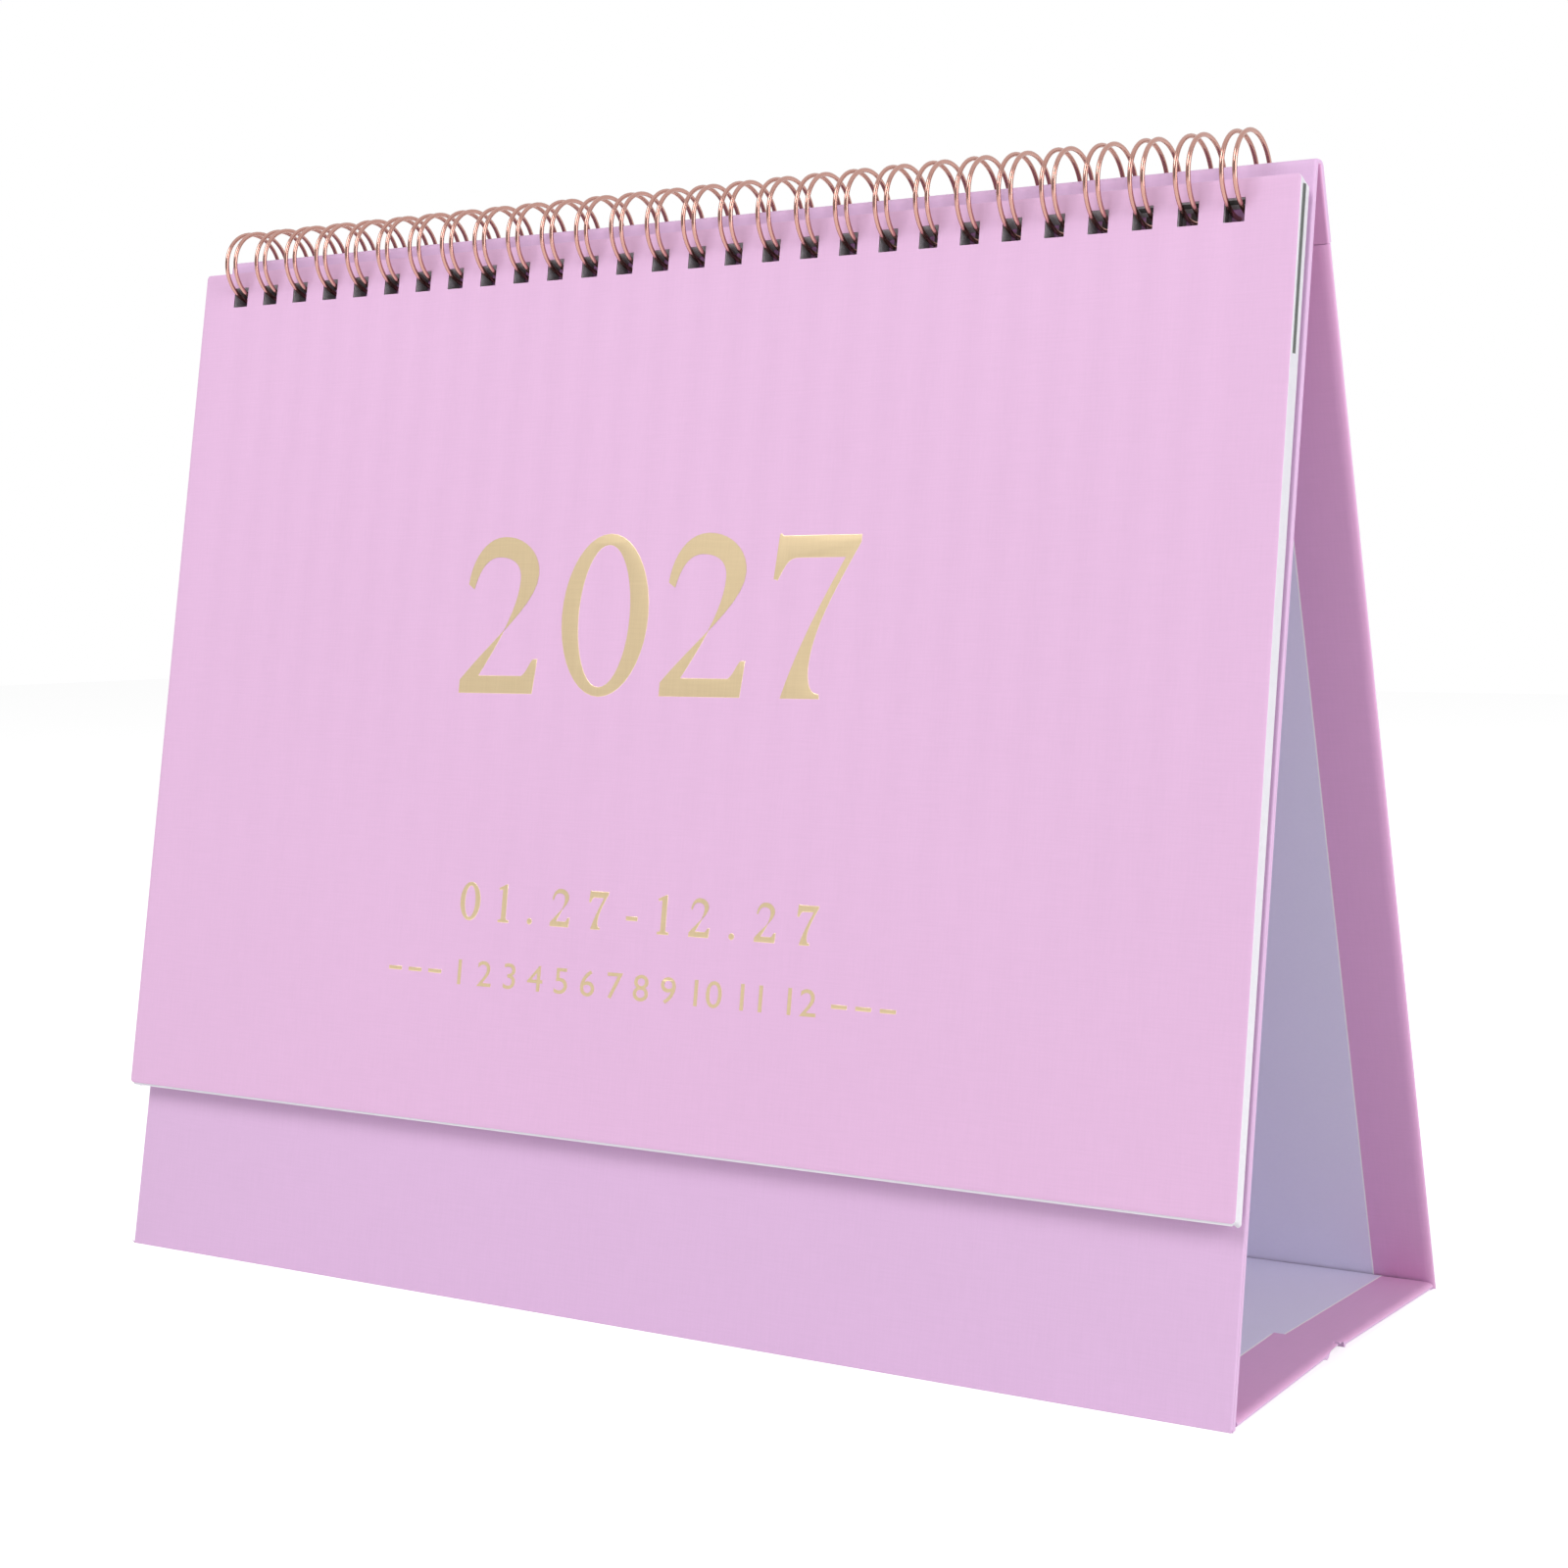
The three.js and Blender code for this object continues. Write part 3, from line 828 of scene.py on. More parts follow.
@dataclass
class PaperShell:
    """Wrap paper round a board: a swept outline with soft ends, open where the lining lies."""

    name: str
    outline: list[Vector]
    left: float
    right: float
    window: tuple[float, float]
    is_inner: Callable[[Vector, Vector], bool]
    drawn_in: Callable[[list[Vector], float], list[Vector]]
    is_punched: Callable[[Vector, Vector], bool] = lambda first, second: False
    holes: list[tuple[float, float]] = field(default_factory=list)
    end_reach: float = 2.0 * MM
    end_inset: float = 0.66 * MM
    end_steps: int = 9

    def stations(self) -> list[tuple[float, float]]:
        """Every X where the outline is drawn, with how far it is moved inwards there.

        Returns:
            The pairs of X and inset, from left to right.
        """
        ends = []
        for step in range(self.end_steps + 1):
            turn = step / self.end_steps * math.pi / 2
            reach, inset = 1 - math.cos(turn), 1 - math.sin(turn)
            ends.append((self.end_reach * reach, self.end_inset * inset))
        marks = {round(x, DIGITS) for span in (*self.holes, self.window) for x in span}
        left = [(self.left + reach, inset) for reach, inset in ends]
        right = [(self.right - reach, inset) for reach, inset in reversed(ends)]
        return left + [(x, 0.0) for x in sorted(marks)] + right

    def build(self, material: Material, inner: Material) -> Object:
        """Makes the closed, thin-walled piece.

        Args:
            material: Its finish.
            inner: The finish of the turn-ins on its inner face, a deeper pink that paints the shade
                inside the stand.

        Returns:
            The new object.
        """
        spans = {(round(low, DIGITS), round(high, DIGITS)) for low, high in self.holes}
        start, end = self.window

        def finish_of(low: float, high: float, first: Vector, second: Vector) -> int | None:
            """Which finish a side takes, or None in the lining's window and in the holes.

            Args:
                low: X where the side starts.
                high: X where it ends.
                first: The outline's point at its one edge.
                second: The point at its other edge.

            Returns:
                The material index, or None.
            """
            is_inner = self.is_inner(first, second)
            in_window = low >= start - NEAR and high <= end + NEAR
            in_hole = (low, high) in spans and self.is_punched(first, second)
            return None if in_hole or (in_window and is_inner) else int(is_inner)

        sections = [
            (x, self.drawn_in(self.outline, inset) if inset else self.outline)
            for x, inset in self.stations()
        ]
        shape = swept(self.outline, sections, finish_of)
        obj = new_object(self.name, plain_mesh(self.name, shape), material, inner)
        wall = obj.modifiers.new("paper", "SOLIDIFY")
        wall.thickness = SKIN_THICKNESS
        wall.offset = -1
        wall.use_even_offset = True
        bake_modifiers(obj)
        smooth_by_angle(obj.data, 32)
        return obj


# The underside beside the crease: shares of the scored width, with shares of its depth there
SCORED_RISE = ((0.0, 1.0), (0.62, 1.0), (0.8, 0.82), (0.87, 0.5), (0.93, 0.2), (1.1, 0.0))


@dataclass
class Stand:
    """The folding stand: wrapped front, spine and strip, back panel and the two base halves."""

    profile: StandProfile
    wrap: Material
    # The wrap's pink with painted interior shade, for the inner turn-ins and the crease band
    turn_in: Material
    lining: Material
    edge_radius: float = 0.42 * MM
    inner_radius: float = 0.2 * MM
    foot_radius: float = 0.25 * MM
    foot_height: float = 1 * MM
    strip_gap: float = 0.1 * MM
    notch_drop: float = 1.0 * MM
    spine_steps: int = 8
    fold_steps: int = 14
    fold_thickness: float = 0.15 * MM
    fold_lap: float = 0.05 * MM
    fold_land: float = 0.08 * MM
    fold_end_gap: float = 0.4 * MM
    crease_thickness: float = 0.2 * MM
    crease_lap: float = 0.25 * MM
    crease_rise: float = 0.03 * MM
    crease_end_gap: float = 1.0 * MM
    front_scored: float = 4.8 * MM
    rear_scored: float = 2.6 * MM
    scored_depth: float = 1.24 * MM
    land_share: float = 1.3
    board_share: float = 1.35
    lining_gap: float = 0.01 * MM
    board_inset: float = 1.9 * MM
    board_depth: float = 0.19 * MM
    board_thickness: float = 1.2 * MM
    board_gap: float = 0.3 * MM

    def window_of(self, lining: str) -> tuple[float, float]:
        """The X range that a lining fills, with a hair's clearance."""
        low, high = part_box(lining)
        return low.x - self.lining_gap, high.x + self.lining_gap

    def front_panel(self) -> None:
        """Front face, rounded spine and the strip behind it, punched for the wire."""
        p = self.profile
        front, back = p.front, p.back
        notch = p.height - self.notch_drop
        inner_foot = front.at_height(0, SKIN_DEPTH)
        front_low, front_high = p.hole_span(front)
        back_low, back_high = p.hole_span(back)
        strip_end = back.at(STRIP_LENGTH, 0)
        outline = [
            *eased([inner_foot, p.foot, front.at(10 * MM, 0)], 1, self.foot_radius),
            front.at(front_low, 0), front.at(front_high, 0),
            *rounded_corner(front, p.spine, SPINE_RADIUS, self.spine_steps),
            *rounded_corner(p.spine, back, SPINE_RADIUS, self.spine_steps),
            back.at(back_low, 0), back.at(back_high, 0),
            strip_end, back.at(STRIP_LENGTH, SKIN_DEPTH),
            back.at(back_high, SKIN_DEPTH), back.at(back_low, SKIN_DEPTH),
            back.at_height(notch, SKIN_DEPTH), front.at_height(notch, SKIN_DEPTH),
            front.at(front_high, SKIN_DEPTH), front.at(front_low, SKIN_DEPTH),
            inner_foot,
        ]

        def is_inner(first: Vector, second: Vector) -> bool:
            """Whether a side of the outline lies on the inside, above the foot."""
            depths = [panel.depth_of(q) for q in (first, second) for panel in (front, back)]
            return max(first.y, second.y) >= self.foot_height and min(depths) > INNER_DEPTH

        def is_punched(first: Vector, second: Vector) -> bool:
            """Whether a side of the outline is one that the holes pass through.

            Args:
                first: The side's first point.
                second: Its second point.

            Returns:
                Whether it is.
            """
            for panel, low, high in ((front, front_low, front_high), (back, back_low, back_high)):
                ends = sorted((panel.distance_of(first), panel.distance_of(second)))
                if abs(ends[0] - low) < NEAR and abs(ends[1] - high) < NEAR:
                    return True
            return False

        def drawn_in(points: list[Vector], inset: float) -> list[Vector]:
            """The outline moved inwards, apart from the strip's end, which the back panel meets."""
            amounts = [0.0 if point is strip_end else inset for point in points]
            return inset_outline(points, amounts)

        holes = [(x - HOLE_WIDTH / 2, x + HOLE_WIDTH / 2) for x in p.hole_centres()]
        self.wrap_board(
            "front", Body.FRONT, outline, is_inner, drawn_in, is_punched=is_punched, holes=holes,
            end_reach=0.45 * MM, end_inset=0.24 * MM,
        )

    def wrap_board(
        self, name: str, body: Body, outline: list[Vector], is_inner: Callable, drawn_in: Callable,
        **settings: object,
    ) -> None:
        """Builds the wrap of one board, open where its lining lies.

        Args:
            name: The board's name, as its CAD nodes begin.
            body: The moving body that it rides on.
            outline: The wrap's section.
            is_inner: Whether a side of the section lies on the inner face.
            drawn_in: Gives the section's points where it is drawn in by an inset.
            settings: Further sizes of the shell.
        """
        p = self.profile
        window = self.window_of(f"{name}_lining")
        shell = PaperShell(
            f"stand_{name}_wrap", outline, p.left, p.right, window, is_inner, drawn_in, **settings
        )
        piece = shell.build(self.wrap, self.turn_in)
        finish_piece(piece, body.value, f"{name}_wrap")

    def back_panel(self) -> None:
        """Back panel, from below the strip down to the rear foot."""
        p = self.profile
        top = STRIP_LENGTH + self.strip_gap
        corners = [
            p.back.at(top, 0),
            p.rear_foot,
            p.back.at_height(0, SKIN_DEPTH),
            p.back.at(top, SKIN_DEPTH),
        ]
        outer, inner = eased(corners, 1, self.edge_radius), eased(corners, 2, self.inner_radius)
        outline = [corners[0], *outer, *inner, corners[3]]

        def is_inner(first: Vector, second: Vector) -> bool:
            """Whether a side of the outline lies on the inner face, above the foot."""
            above = min(first.y, second.y) > -NEAR and max(first.y, second.y) > self.foot_height
            return above and all(p.back.depth_of(q) > INNER_DEPTH for q in (first, second))

        def drawn_in(points: list[Vector], inset: float) -> list[Vector]:
            """The outline thinned towards the panel's middle."""
            return [thinned(p.back, point, inset) for point in points]

        self.wrap_board("back", Body.BACK, outline, is_inner, drawn_in)

    def base_half(
        self, name: str, panel: Panel, span: tuple[float, float], scored: float, crease_first: bool
    ) -> None:
        """One half of the base. Next to the crease there is paper only, so its underside rises.

        Args:
            name: The CAD node that it stands for, without its last word.
            panel: Which panel of the profile.
            span: Where it starts and ends along the panel.
            scored: How far the board stays away from the crease.
            crease_first: Whether the crease is at the panel's start.
        """
        start, end = span
        rise = [(share * scored, part * self.scored_depth) for share, part in SCORED_RISE]
        land = self.land_share * scored
        if crease_first:
            under = [panel.at(start + away, depth) for away, depth in rise]
            upper = [panel.at(place, SKIN_DEPTH) for place in (end, start + land, start)]
            corners = [*under, panel.at(start + land, 0), panel.at(end, 0), *upper]
            rounded = {len(under) + 1: self.edge_radius, len(under) + 2: self.inner_radius}
        else:
            under = [panel.at(end - away, depth) for away, depth in reversed(rise)]
            upper = [panel.at(place, SKIN_DEPTH) for place in (end, end - land, start)]
            corners = [panel.at(start, 0), panel.at(end - land, 0), *under, *upper]
            rounded = {0: self.edge_radius, len(corners) - 1: self.inner_radius}
        outline = []
        for index, corner in enumerate(corners):
            outline += eased(corners, index, rounded[index]) if index in rounded else [corner]

        def is_inner(first: Vector, second: Vector) -> bool:
            """Whether a side of the outline lies on the upper, inner face."""
            return all(panel.depth_of(q) > SKIN_DEPTH - NEAR for q in (first, second))

        def drawn_in(points: list[Vector], inset: float) -> list[Vector]:
            """The outline thinned towards the panel's middle, short of the scored crease.

            Args:
                points: The outline.
                inset: How far a point on either face moves.

            Returns:
                The moved points.
            """
            moved = []
            for point in points:
                place = panel.distance_of(point)
                away = place - start if crease_first else end - place
                moved.append(thinned(panel, point, inset) if away > land - NEAR else point)
            return moved

        self.wrap_board(name, Body(name), outline, is_inner, drawn_in, end_reach=1.5 * MM)
        self.base_board(name, panel, span, scored, crease_first)

    def base_board(
        self, name: str, panel: Panel, span: tuple[float, float], scored: float, crease_first: bool
    ) -> None:
        """The grey board inside one half of the base, short of the crease.

        Args:
            name: The half's name, as its CAD nodes begin.
            panel: Which panel of the profile.
            span: Where the half starts and ends along the panel.
            scored: How far the board stays away from the crease.
            crease_first: Whether the crease is at the panel's start.
        """
        gaps = (scored * self.board_share, self.board_gap)
        first_gap, last_gap = gaps if crease_first else reversed(gaps)
        start, end = span[0] + first_gap, span[1] - last_gap
        outer, inner = self.board_depth, self.board_depth + self.board_thickness
        places = ((start, outer), (end, outer), (end, inner), (start, inner))
        corners = [panel.at(*place) for place in places]
        low, high = self.board_ends()
        obj = prism(f"stand_{name}_board", corners, low, high, BOARD)
        finish_piece(obj, name, f"{name}_board")

    def board_ends(self) -> tuple[float, float]:
        """The X of a board's ends, drawn in to clear the rounded wrap."""
        return self.profile.left + self.board_inset, self.profile.right - self.board_inset

    def upright_board(self, node: str, body: Body) -> None:
        """The board inside an upright panel, in the shape of its CAD node between its ends.

        Args:
            node: The CAD node.
            body: The moving body that it rides on.
        """
        mesh = frame["nodes"][node].data.copy()
        low, high = self.board_ends()
        for vertex in mesh.vertices:
            vertex.co.x = min(max(vertex.co.x, low), high)
        finish_piece(new_object(f"stand_{node}", mesh, BOARD), body.value, node)

    def folds(self, spans: dict[str, tuple[float, float]]) -> None:
        """The bands of wrap paper that bend where the panels meet.

        Args:
            spans: Where each half of the base starts and ends along its panel.
        """
        p = self.profile
        fore = p.base_front.at(spans["base_front"][1] + self.fold_lap, 0)
        fore_land = Vector((p.front.at_height(0, SKIN_DEPTH).x + self.fold_land, 0))
        rear = p.base_rear.at(spans["base_rear"][0] - self.fold_lap, 0)
        rear_land = Vector((p.back.at_height(0, SKIN_DEPTH).x - self.fold_land, 0))
        self.foot_band("front_foot", fore_land, fore, ("front_panel", "base_front"))
        self.foot_band("rear_foot", rear, rear_land, ("base_rear", "back_panel"))
        self.crease_band(spans)

    def foot_band(self, foot: str, start: Vector, end: Vector, bodies: tuple[str, str]) -> None:
        """One flat band of paper lying between two points of the profile.

        Args:
            foot: Which foot of the stand it closes.
            start: The point on the first body.
            end: The point on the second body.
            bodies: The two moving bodies.
        """
        steps = self.fold_steps
        line = [start.lerp(end, step / steps) for step in range(steps + 1)]
        up = Vector((0, self.fold_thickness))
        outline = line + [point + up for point in reversed(line)]
        low, high = self.profile.left + self.fold_end_gap, self.profile.right - self.fold_end_gap
        obj = prism(f"fold_{foot}", outline, low, high, self.wrap)
        self.bend(obj, bodies, start, end, f"{foot}_fold")

    def crease_band(self, spans: dict[str, tuple[float, float]]) -> None:
        """The paper over the base crease: a low rounded ridge between the two halves.

        Args:
            spans: Where each half of the base starts and ends along its panel.
        """
        p = self.profile
        rear = p.base_rear.at(spans["base_rear"][1] - self.crease_lap, SKIN_DEPTH)
        fore = p.base_front.at(spans["base_front"][0] + self.crease_lap, SKIN_DEPTH)
        peak = p.base_front.meet(p.base_rear, SKIN_DEPTH)
        top = []
        for step in range(self.fold_steps + 1):
            t = step / self.fold_steps
            point = rear * (1 - t) ** 2 + peak * 2 * t * (1 - t) + fore * t**2
            top.append(point + Vector((0, self.crease_rise * math.sin(t * math.pi))))
        down = Vector((0, -self.crease_thickness))
        outline = [point + down for point in top] + list(reversed(top))
        low, high = p.left + self.crease_end_gap, p.right - self.crease_end_gap
        # Its paper takes the turn-ins' deeper pink, painted shade inside the stand
        obj = prism("fold_base_crease", outline, low, high, self.turn_in)
        self.line_band(obj, *self.window_of("base_front_lining"))
        self.bend(obj, ("base_rear", "base_front"), rear, fore, "base_crease_fold")

    def line_band(self, obj: Object, low: float, high: float) -> None:
        """Gives the upper side of a band the lining's paper between two X values.

        Args:
            obj: The band.
            low: The lower X.
            high: The higher X.
        """
        obj.data.materials.append(self.lining)
        shape = bmesh.new()
        shape.from_mesh(obj.data)
        for x in (low, high):
            everything = [*shape.verts, *shape.edges, *shape.faces]
            bmesh.ops.bisect_plane(shape, geom=everything, plane_co=(x, 0, 0), plane_no=(1, 0, 0))
        for face in shape.faces:
            lined = low < face.calc_center_median().x < high and face.normal.z > 0.5
            face.material_index = int(lined)
        shape.to_mesh(obj.data)
        shape.free()

    def bend(
        self, obj: Object, bodies: tuple[str, str], start: Vector, end: Vector, node: str
    ) -> None:
        """Smooths a band's shading, bakes its place into its mesh and hides the CAD node that it
        stands for.

        Args:
            obj: The band.
            bodies: The two moving bodies.
            start: Where the bend starts, in (y, z); not used.
            end: Where it ends; not used.
            node: The CAD node that the band stands for.
        """
        smooth_by_angle(obj.data, 40)
        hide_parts(node)
        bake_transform(obj)
        log.info("%s bends between %s and %s", obj.name, *bodies)

    def build(self) -> None:
        """Builds every wrapped panel and fold."""
        p = self.profile
        rear_corner = p.base_rear.meet(p.back, SKIN_DEPTH)
        front_corner = p.base_front.meet(p.front, SKIN_DEPTH)
        rear_start = p.base_rear.distance_of(rear_corner) + FOLD_CLEARANCE
        front_end = p.base_front.distance_of(front_corner) - FOLD_CLEARANCE
        spans = {
            "base_rear": (rear_start, p.base_rear.length - FOLD_CLEARANCE),
            "base_front": (FOLD_CLEARANCE, front_end),
        }
        self.front_panel()
        self.back_panel()
        boards = {"front_board": Body.FRONT, "ridge_board": Body.FRONT, "back_board": Body.BACK}
        for node, body in boards.items():
            self.upright_board(node, body)
        self.base_half("base_front", p.base_front, spans["base_front"], self.front_scored, True)
        self.base_half("base_rear", p.base_rear, spans["base_rear"], self.rear_scored, False)
        self.folds(spans)


# Sheets


@dataclass
class SheetPlane:
    """Where one hanging sheet lies: its own axes and size, read from its CAD node."""

    node: str
    origin: Vector = field(init=False)
    up: Vector = field(init=False)
    out: Vector = field(init=False)
    width: float = field(init=False)
    height: float = field(init=False)
    thickness: float = field(init=False)

    def __post_init__(self) -> None:
        """Finds the front face and measures the sheet along and across it."""
        mesh = frame["nodes"][self.node].data
        facing = (face for face in mesh.polygons if face.normal.y < -0.5)
        largest = max(facing, key=lambda face: face.area)
        self.out = largest.normal.normalized()
        self.up = self.out.cross(Vector((1, 0, 0))).normalized()
        points = [vertex.co for vertex in mesh.vertices]
        rise = [point.dot(self.up) for point in points]
        depth = [point.dot(self.out) for point in points]
        left, right = min(q.x for q in points), max(q.x for q in points)
        self.width, self.height = right - left, max(rise) - min(rise)
        self.thickness = max(depth) - min(depth)
        self.origin = self.up * min(rise) + self.out * max(depth)
        self.origin.x = (left + right) / 2

    def matrix(self, lift: float = 0.0) -> Matrix:
        """From the sheet's own axes, with Z out of its front face, to the frame.

        Args:
            lift: How far above the front face the origin lies.

        Returns:
            The matrix.
        """
        place = self.origin + self.out * lift
        axes = Matrix((Vector((1, 0, 0)), self.up, self.out)).transposed().to_4x4()
        return Matrix.Translation(place) @ axes


@dataclass
class PunchedSheet:
    """A sheet with rounded corners and the row of square holes, as one closed thin body."""

    plane: SheetPlane
    name: str
    profile: StandProfile
    corner_radius: float = 0.8 * MM
    corner_steps: int = 6
    edge_bevel: float = 0.0
    foot_drop: float = 0.0

    def face_grid(self) -> bmesh.types.BMesh:
        """The front face in the sheet's own axes, with its holes left out.

        Returns:
            The mesh under construction.
        """
        half, top, r = self.plane.width / 2, self.plane.height, self.corner_radius
        centres = [x - self.plane.origin.x for x in self.profile.hole_centres()]
        edges = [side for x in centres for side in (x - HOLE_WIDTH / 2, x + HOLE_WIDTH / 2)]
        columns = [-half, -half + r, *edges, half - r, half]
        hole_high = top - HOLE_TOP_MARGIN
        hole_low = hole_high - HOLE_HEIGHT
        rows = [-self.foot_drop, r, hole_low, hole_high, top - r, top]
        shape = bmesh.new()
        points = {}

        def vertex(column: int, row: int) -> bmesh.types.BMVert:
            """The grid's vertex, made when it is first asked for.

            Args:
                column: Its column.
                row: Its row.

            Returns:
                The vertex.
            """
            if (column, row) not in points:
                points[column, row] = shape.verts.new((columns[column], rows[row], 0))
            return points[column, row]

        last_column, last_row, hole_row = len(columns) - 2, len(rows) - 2, 2
        for column in range(last_column + 1):
            for row in range(last_row + 1):
                if row == hole_row and column % 2 == 0 and 0 < column < last_column:
                    continue
                corner = column in (0, last_column) and row in (0, last_row)
                ring = [(column, row), (column + 1, row), (column + 1, row + 1), (column, row + 1)]
                if corner:
                    shape.faces.new(self.corner_ring(shape, vertex, ring, column == 0, row == 0))
                else:
                    shape.faces.new([vertex(*place) for place in ring])
        return shape

    def corner_ring(
        self,
        shape: bmesh.types.BMesh,
        vertex: Callable[[int, int], bmesh.types.BMVert],
        ring: list[tuple[int, int]],
        is_left: bool,
        is_low: bool,
    ) -> list[bmesh.types.BMVert]:
        """The vertices of one rounded corner of the grid, counter-clockwise.

        Args:
            shape: The mesh that gets the arc's new vertices.
            vertex: Gives a grid vertex by column and row.
            ring: The square's four grid places, counter-clockwise from the lowest left.
            is_left: Whether the corner is on the left.
            is_low: Whether the corner is at the bottom.

        Returns:
            The corner's vertices.
        """
        corners = ((True, True), (False, True), (False, False), (True, False))
        outer = corners.index((is_left, is_low))
        first, centre, second = (vertex(*ring[(outer + step) % 4]) for step in (1, 2, 3))
        middle = centre.co
        start = math.atan2(second.co.y - middle.y, second.co.x - middle.x)
        arc_points = []
        for step in range(1, self.corner_steps):
            angle = start + step / self.corner_steps * math.pi / 2
            offset = Vector((math.cos(angle), math.sin(angle), 0)) * self.corner_radius
            arc_points.append(shape.verts.new(middle + offset))
        return [first, centre, second, *arc_points]

    def ink_hole_walls(self, mesh: Mesh) -> None:
        """Gives the walls of the punched holes the third finish, a dark painted shade for the shade
        deep inside the holes.

        Args:
            mesh: The sheet's mesh.
        """
        half_row = self.plane.width / 2 - 1 * MM
        row_middle = self.plane.height - HOLE_TOP_MARGIN - HOLE_HEIGHT / 2
        for face in mesh.polygons:
            inside = abs(face.center.x) < half_row
            in_row = abs(face.center.y - row_middle) < HOLE_HEIGHT * 0.52
            if abs(face.normal.z) < 0.5 and inside and in_row:
                face.material_index = 2

    def build(
        self, front: Material, rear: Material, punched: Material
    ) -> Object:
        """Makes the sheet.

        Args:
            front: Finish of the front face.
            rear: Finish of the back and of the cut edges.
            punched: Finish of the holes' walls, a dark painted shade.

        Returns:
            The new object.
        """
        shape = self.face_grid()
        uv = shape.loops.layers.uv.new("UVMap")
        for face in shape.faces:
            for loop in face.loops:
                loop[uv].uv = loop.vert.co.xy
        obj = new_object(self.name, plain_mesh(self.name, shape), front, rear, punched)
        wall = obj.modifiers.new("thickness", "SOLIDIFY")
        wall.thickness = self.plane.thickness
        wall.offset = -1
        wall.material_offset = 1
        wall.material_offset_rim = 1
        if self.edge_bevel:
            soft = obj.modifiers.new("edge", "BEVEL")
            soft.width = self.edge_bevel
            soft.segments = 2
            soft.limit_method = "ANGLE"
            soft.angle_limit = math.radians(50)
            soft.use_clamp_overlap = True
        bake_modifiers(obj)
        self.ink_hole_walls(obj.data)
        obj.data.transform(self.plane.matrix())
        smooth_by_angle(obj.data, 40)
        return obj


# Artwork


Outline = list[tuple]
SANS_HEIGHT = 0.729  # of the built-in font's numerals, as a share of its size


def ellipse(cx: float, cy: float, rx: float, ry: float) -> Outline:
    """An ellipse as four curved stretches.

    Args:
        cx: X of its centre.
        cy: Y of its centre.
        rx: Half of its width.
        ry: Half of its height.

    Returns:
        The closed outline.
    """
    k = 0.5523
    return [
        (cx + rx, cy),
        (cx + rx, cy + k * ry, cx + k * rx, cy + ry, cx, cy + ry),
        (cx - k * rx, cy + ry, cx - rx, cy + k * ry, cx - rx, cy),
        (cx - rx, cy - k * ry, cx - k * rx, cy - ry, cx, cy - ry),
        (cx + k * rx, cy - ry, cx + rx, cy - k * ry, cx + rx, cy),
    ]


# Numerals in shares of their own height. Two numbers are a straight stretch's end; six are a
# curved stretch's two handles and its end.
NUMERALS: dict[str, tuple[float, list[Outline]]] = {
    "0": (0.66, [ellipse(0.33, 0.5, 0.33, 0.51), ellipse(0.325, 0.495, 0.195, 0.445)]),
    "1": (0.4, [[
        (0.04, 0.0), (0.38, 0.0), (0.38, 0.035),
        (0.3, 0.04, 0.275, 0.06, 0.275, 0.12), (0.275, 1.0), (0.24, 1.0), (0.02, 0.9),
        (0.03, 0.865), (0.11, 0.9, 0.145, 0.89, 0.145, 0.84), (0.145, 0.12),
        (0.145, 0.06, 0.12, 0.04, 0.04, 0.035), (0.04, 0.0),
    ]]),
    "2": (0.61, [[
        (0.058, 0.672), (0.09, 0.8, 0.15, 0.876, 0.245, 0.876),
        (0.35, 0.876, 0.43, 0.83, 0.43, 0.73), (0.43, 0.57, 0.33, 0.38, 0.15, 0.113),
        (0.49, 0.113), (0.53, 0.13, 0.548, 0.2, 0.575, 0.22), (0.61, 0.222), (0.588, 0.0),
        (0.0, 0.0), (0.0, 0.085), (0.25, 0.36, 0.566, 0.57, 0.566, 0.76),
        (0.566, 0.9, 0.43, 1.0, 0.28, 1.0), (0.12, 1.0, 0.03, 0.86, 0.014, 0.702),
        (0.058, 0.672),
    ]]),
    "7": (0.6, [[
        (0.0, 0.715), (0.022, 0.985), (0.035, 0.99), (0.05, 0.976), (0.592, 0.976), (0.59, 0.93),
        (0.42, 0.63, 0.3, 0.4, 0.29, 0.2), (0.285, 0.13, 0.3, 0.05, 0.345, 0.035),
        (0.375, 0.028), (0.38, 0.0), (0.107, 0.0), (0.2, 0.3, 0.33, 0.55, 0.49, 0.842),
        (0.17, 0.842), (0.09, 0.842, 0.075, 0.79, 0.03, 0.705), (0.0, 0.715),
    ]]),
    ".": (0.14, [ellipse(0.07, 0.07, 0.07, 0.07)]),
    "-": (0.34, [[(0.0, 0.3), (0.34, 0.3), (0.34, 0.38), (0.0, 0.38), (0.0, 0.3)]]),
}


def add_outline(curve: bpy.types.Curve, outline: Outline, scale: float, shift: Vector) -> None:
    """Adds one closed outline to a flat curve.

    Args:
        curve: The curve that gets it.
        outline: Its start, then its straight and curved stretches.
        scale: Size of one unit of the outline.
        shift: Where the outline's origin goes.
    """
    steps = 10
    points = [Vector(outline[0])]
    for stretch in outline[1:]:
        start = points[-1]
        if len(stretch) == 2:
            points.append(Vector(stretch))
            continue
        first, second, end = (Vector(stretch[k:k + 2]) for k in (0, 2, 4))
        for step in range(1, steps + 1):
            t = step / steps
            u = 1 - t
            point = start * u**3 + first * 3 * u * u * t
            points.append(point + second * 3 * u * t * t + end * t**3)
    spline = curve.splines.new("POLY")
    spline.points.add(len(points) - 2)
    for place, point in zip(spline.points, points[:-1]):
        at = point * scale + shift
        place.co = (at.x, at.y, 0, 1)
    spline.use_cyclic_u = True


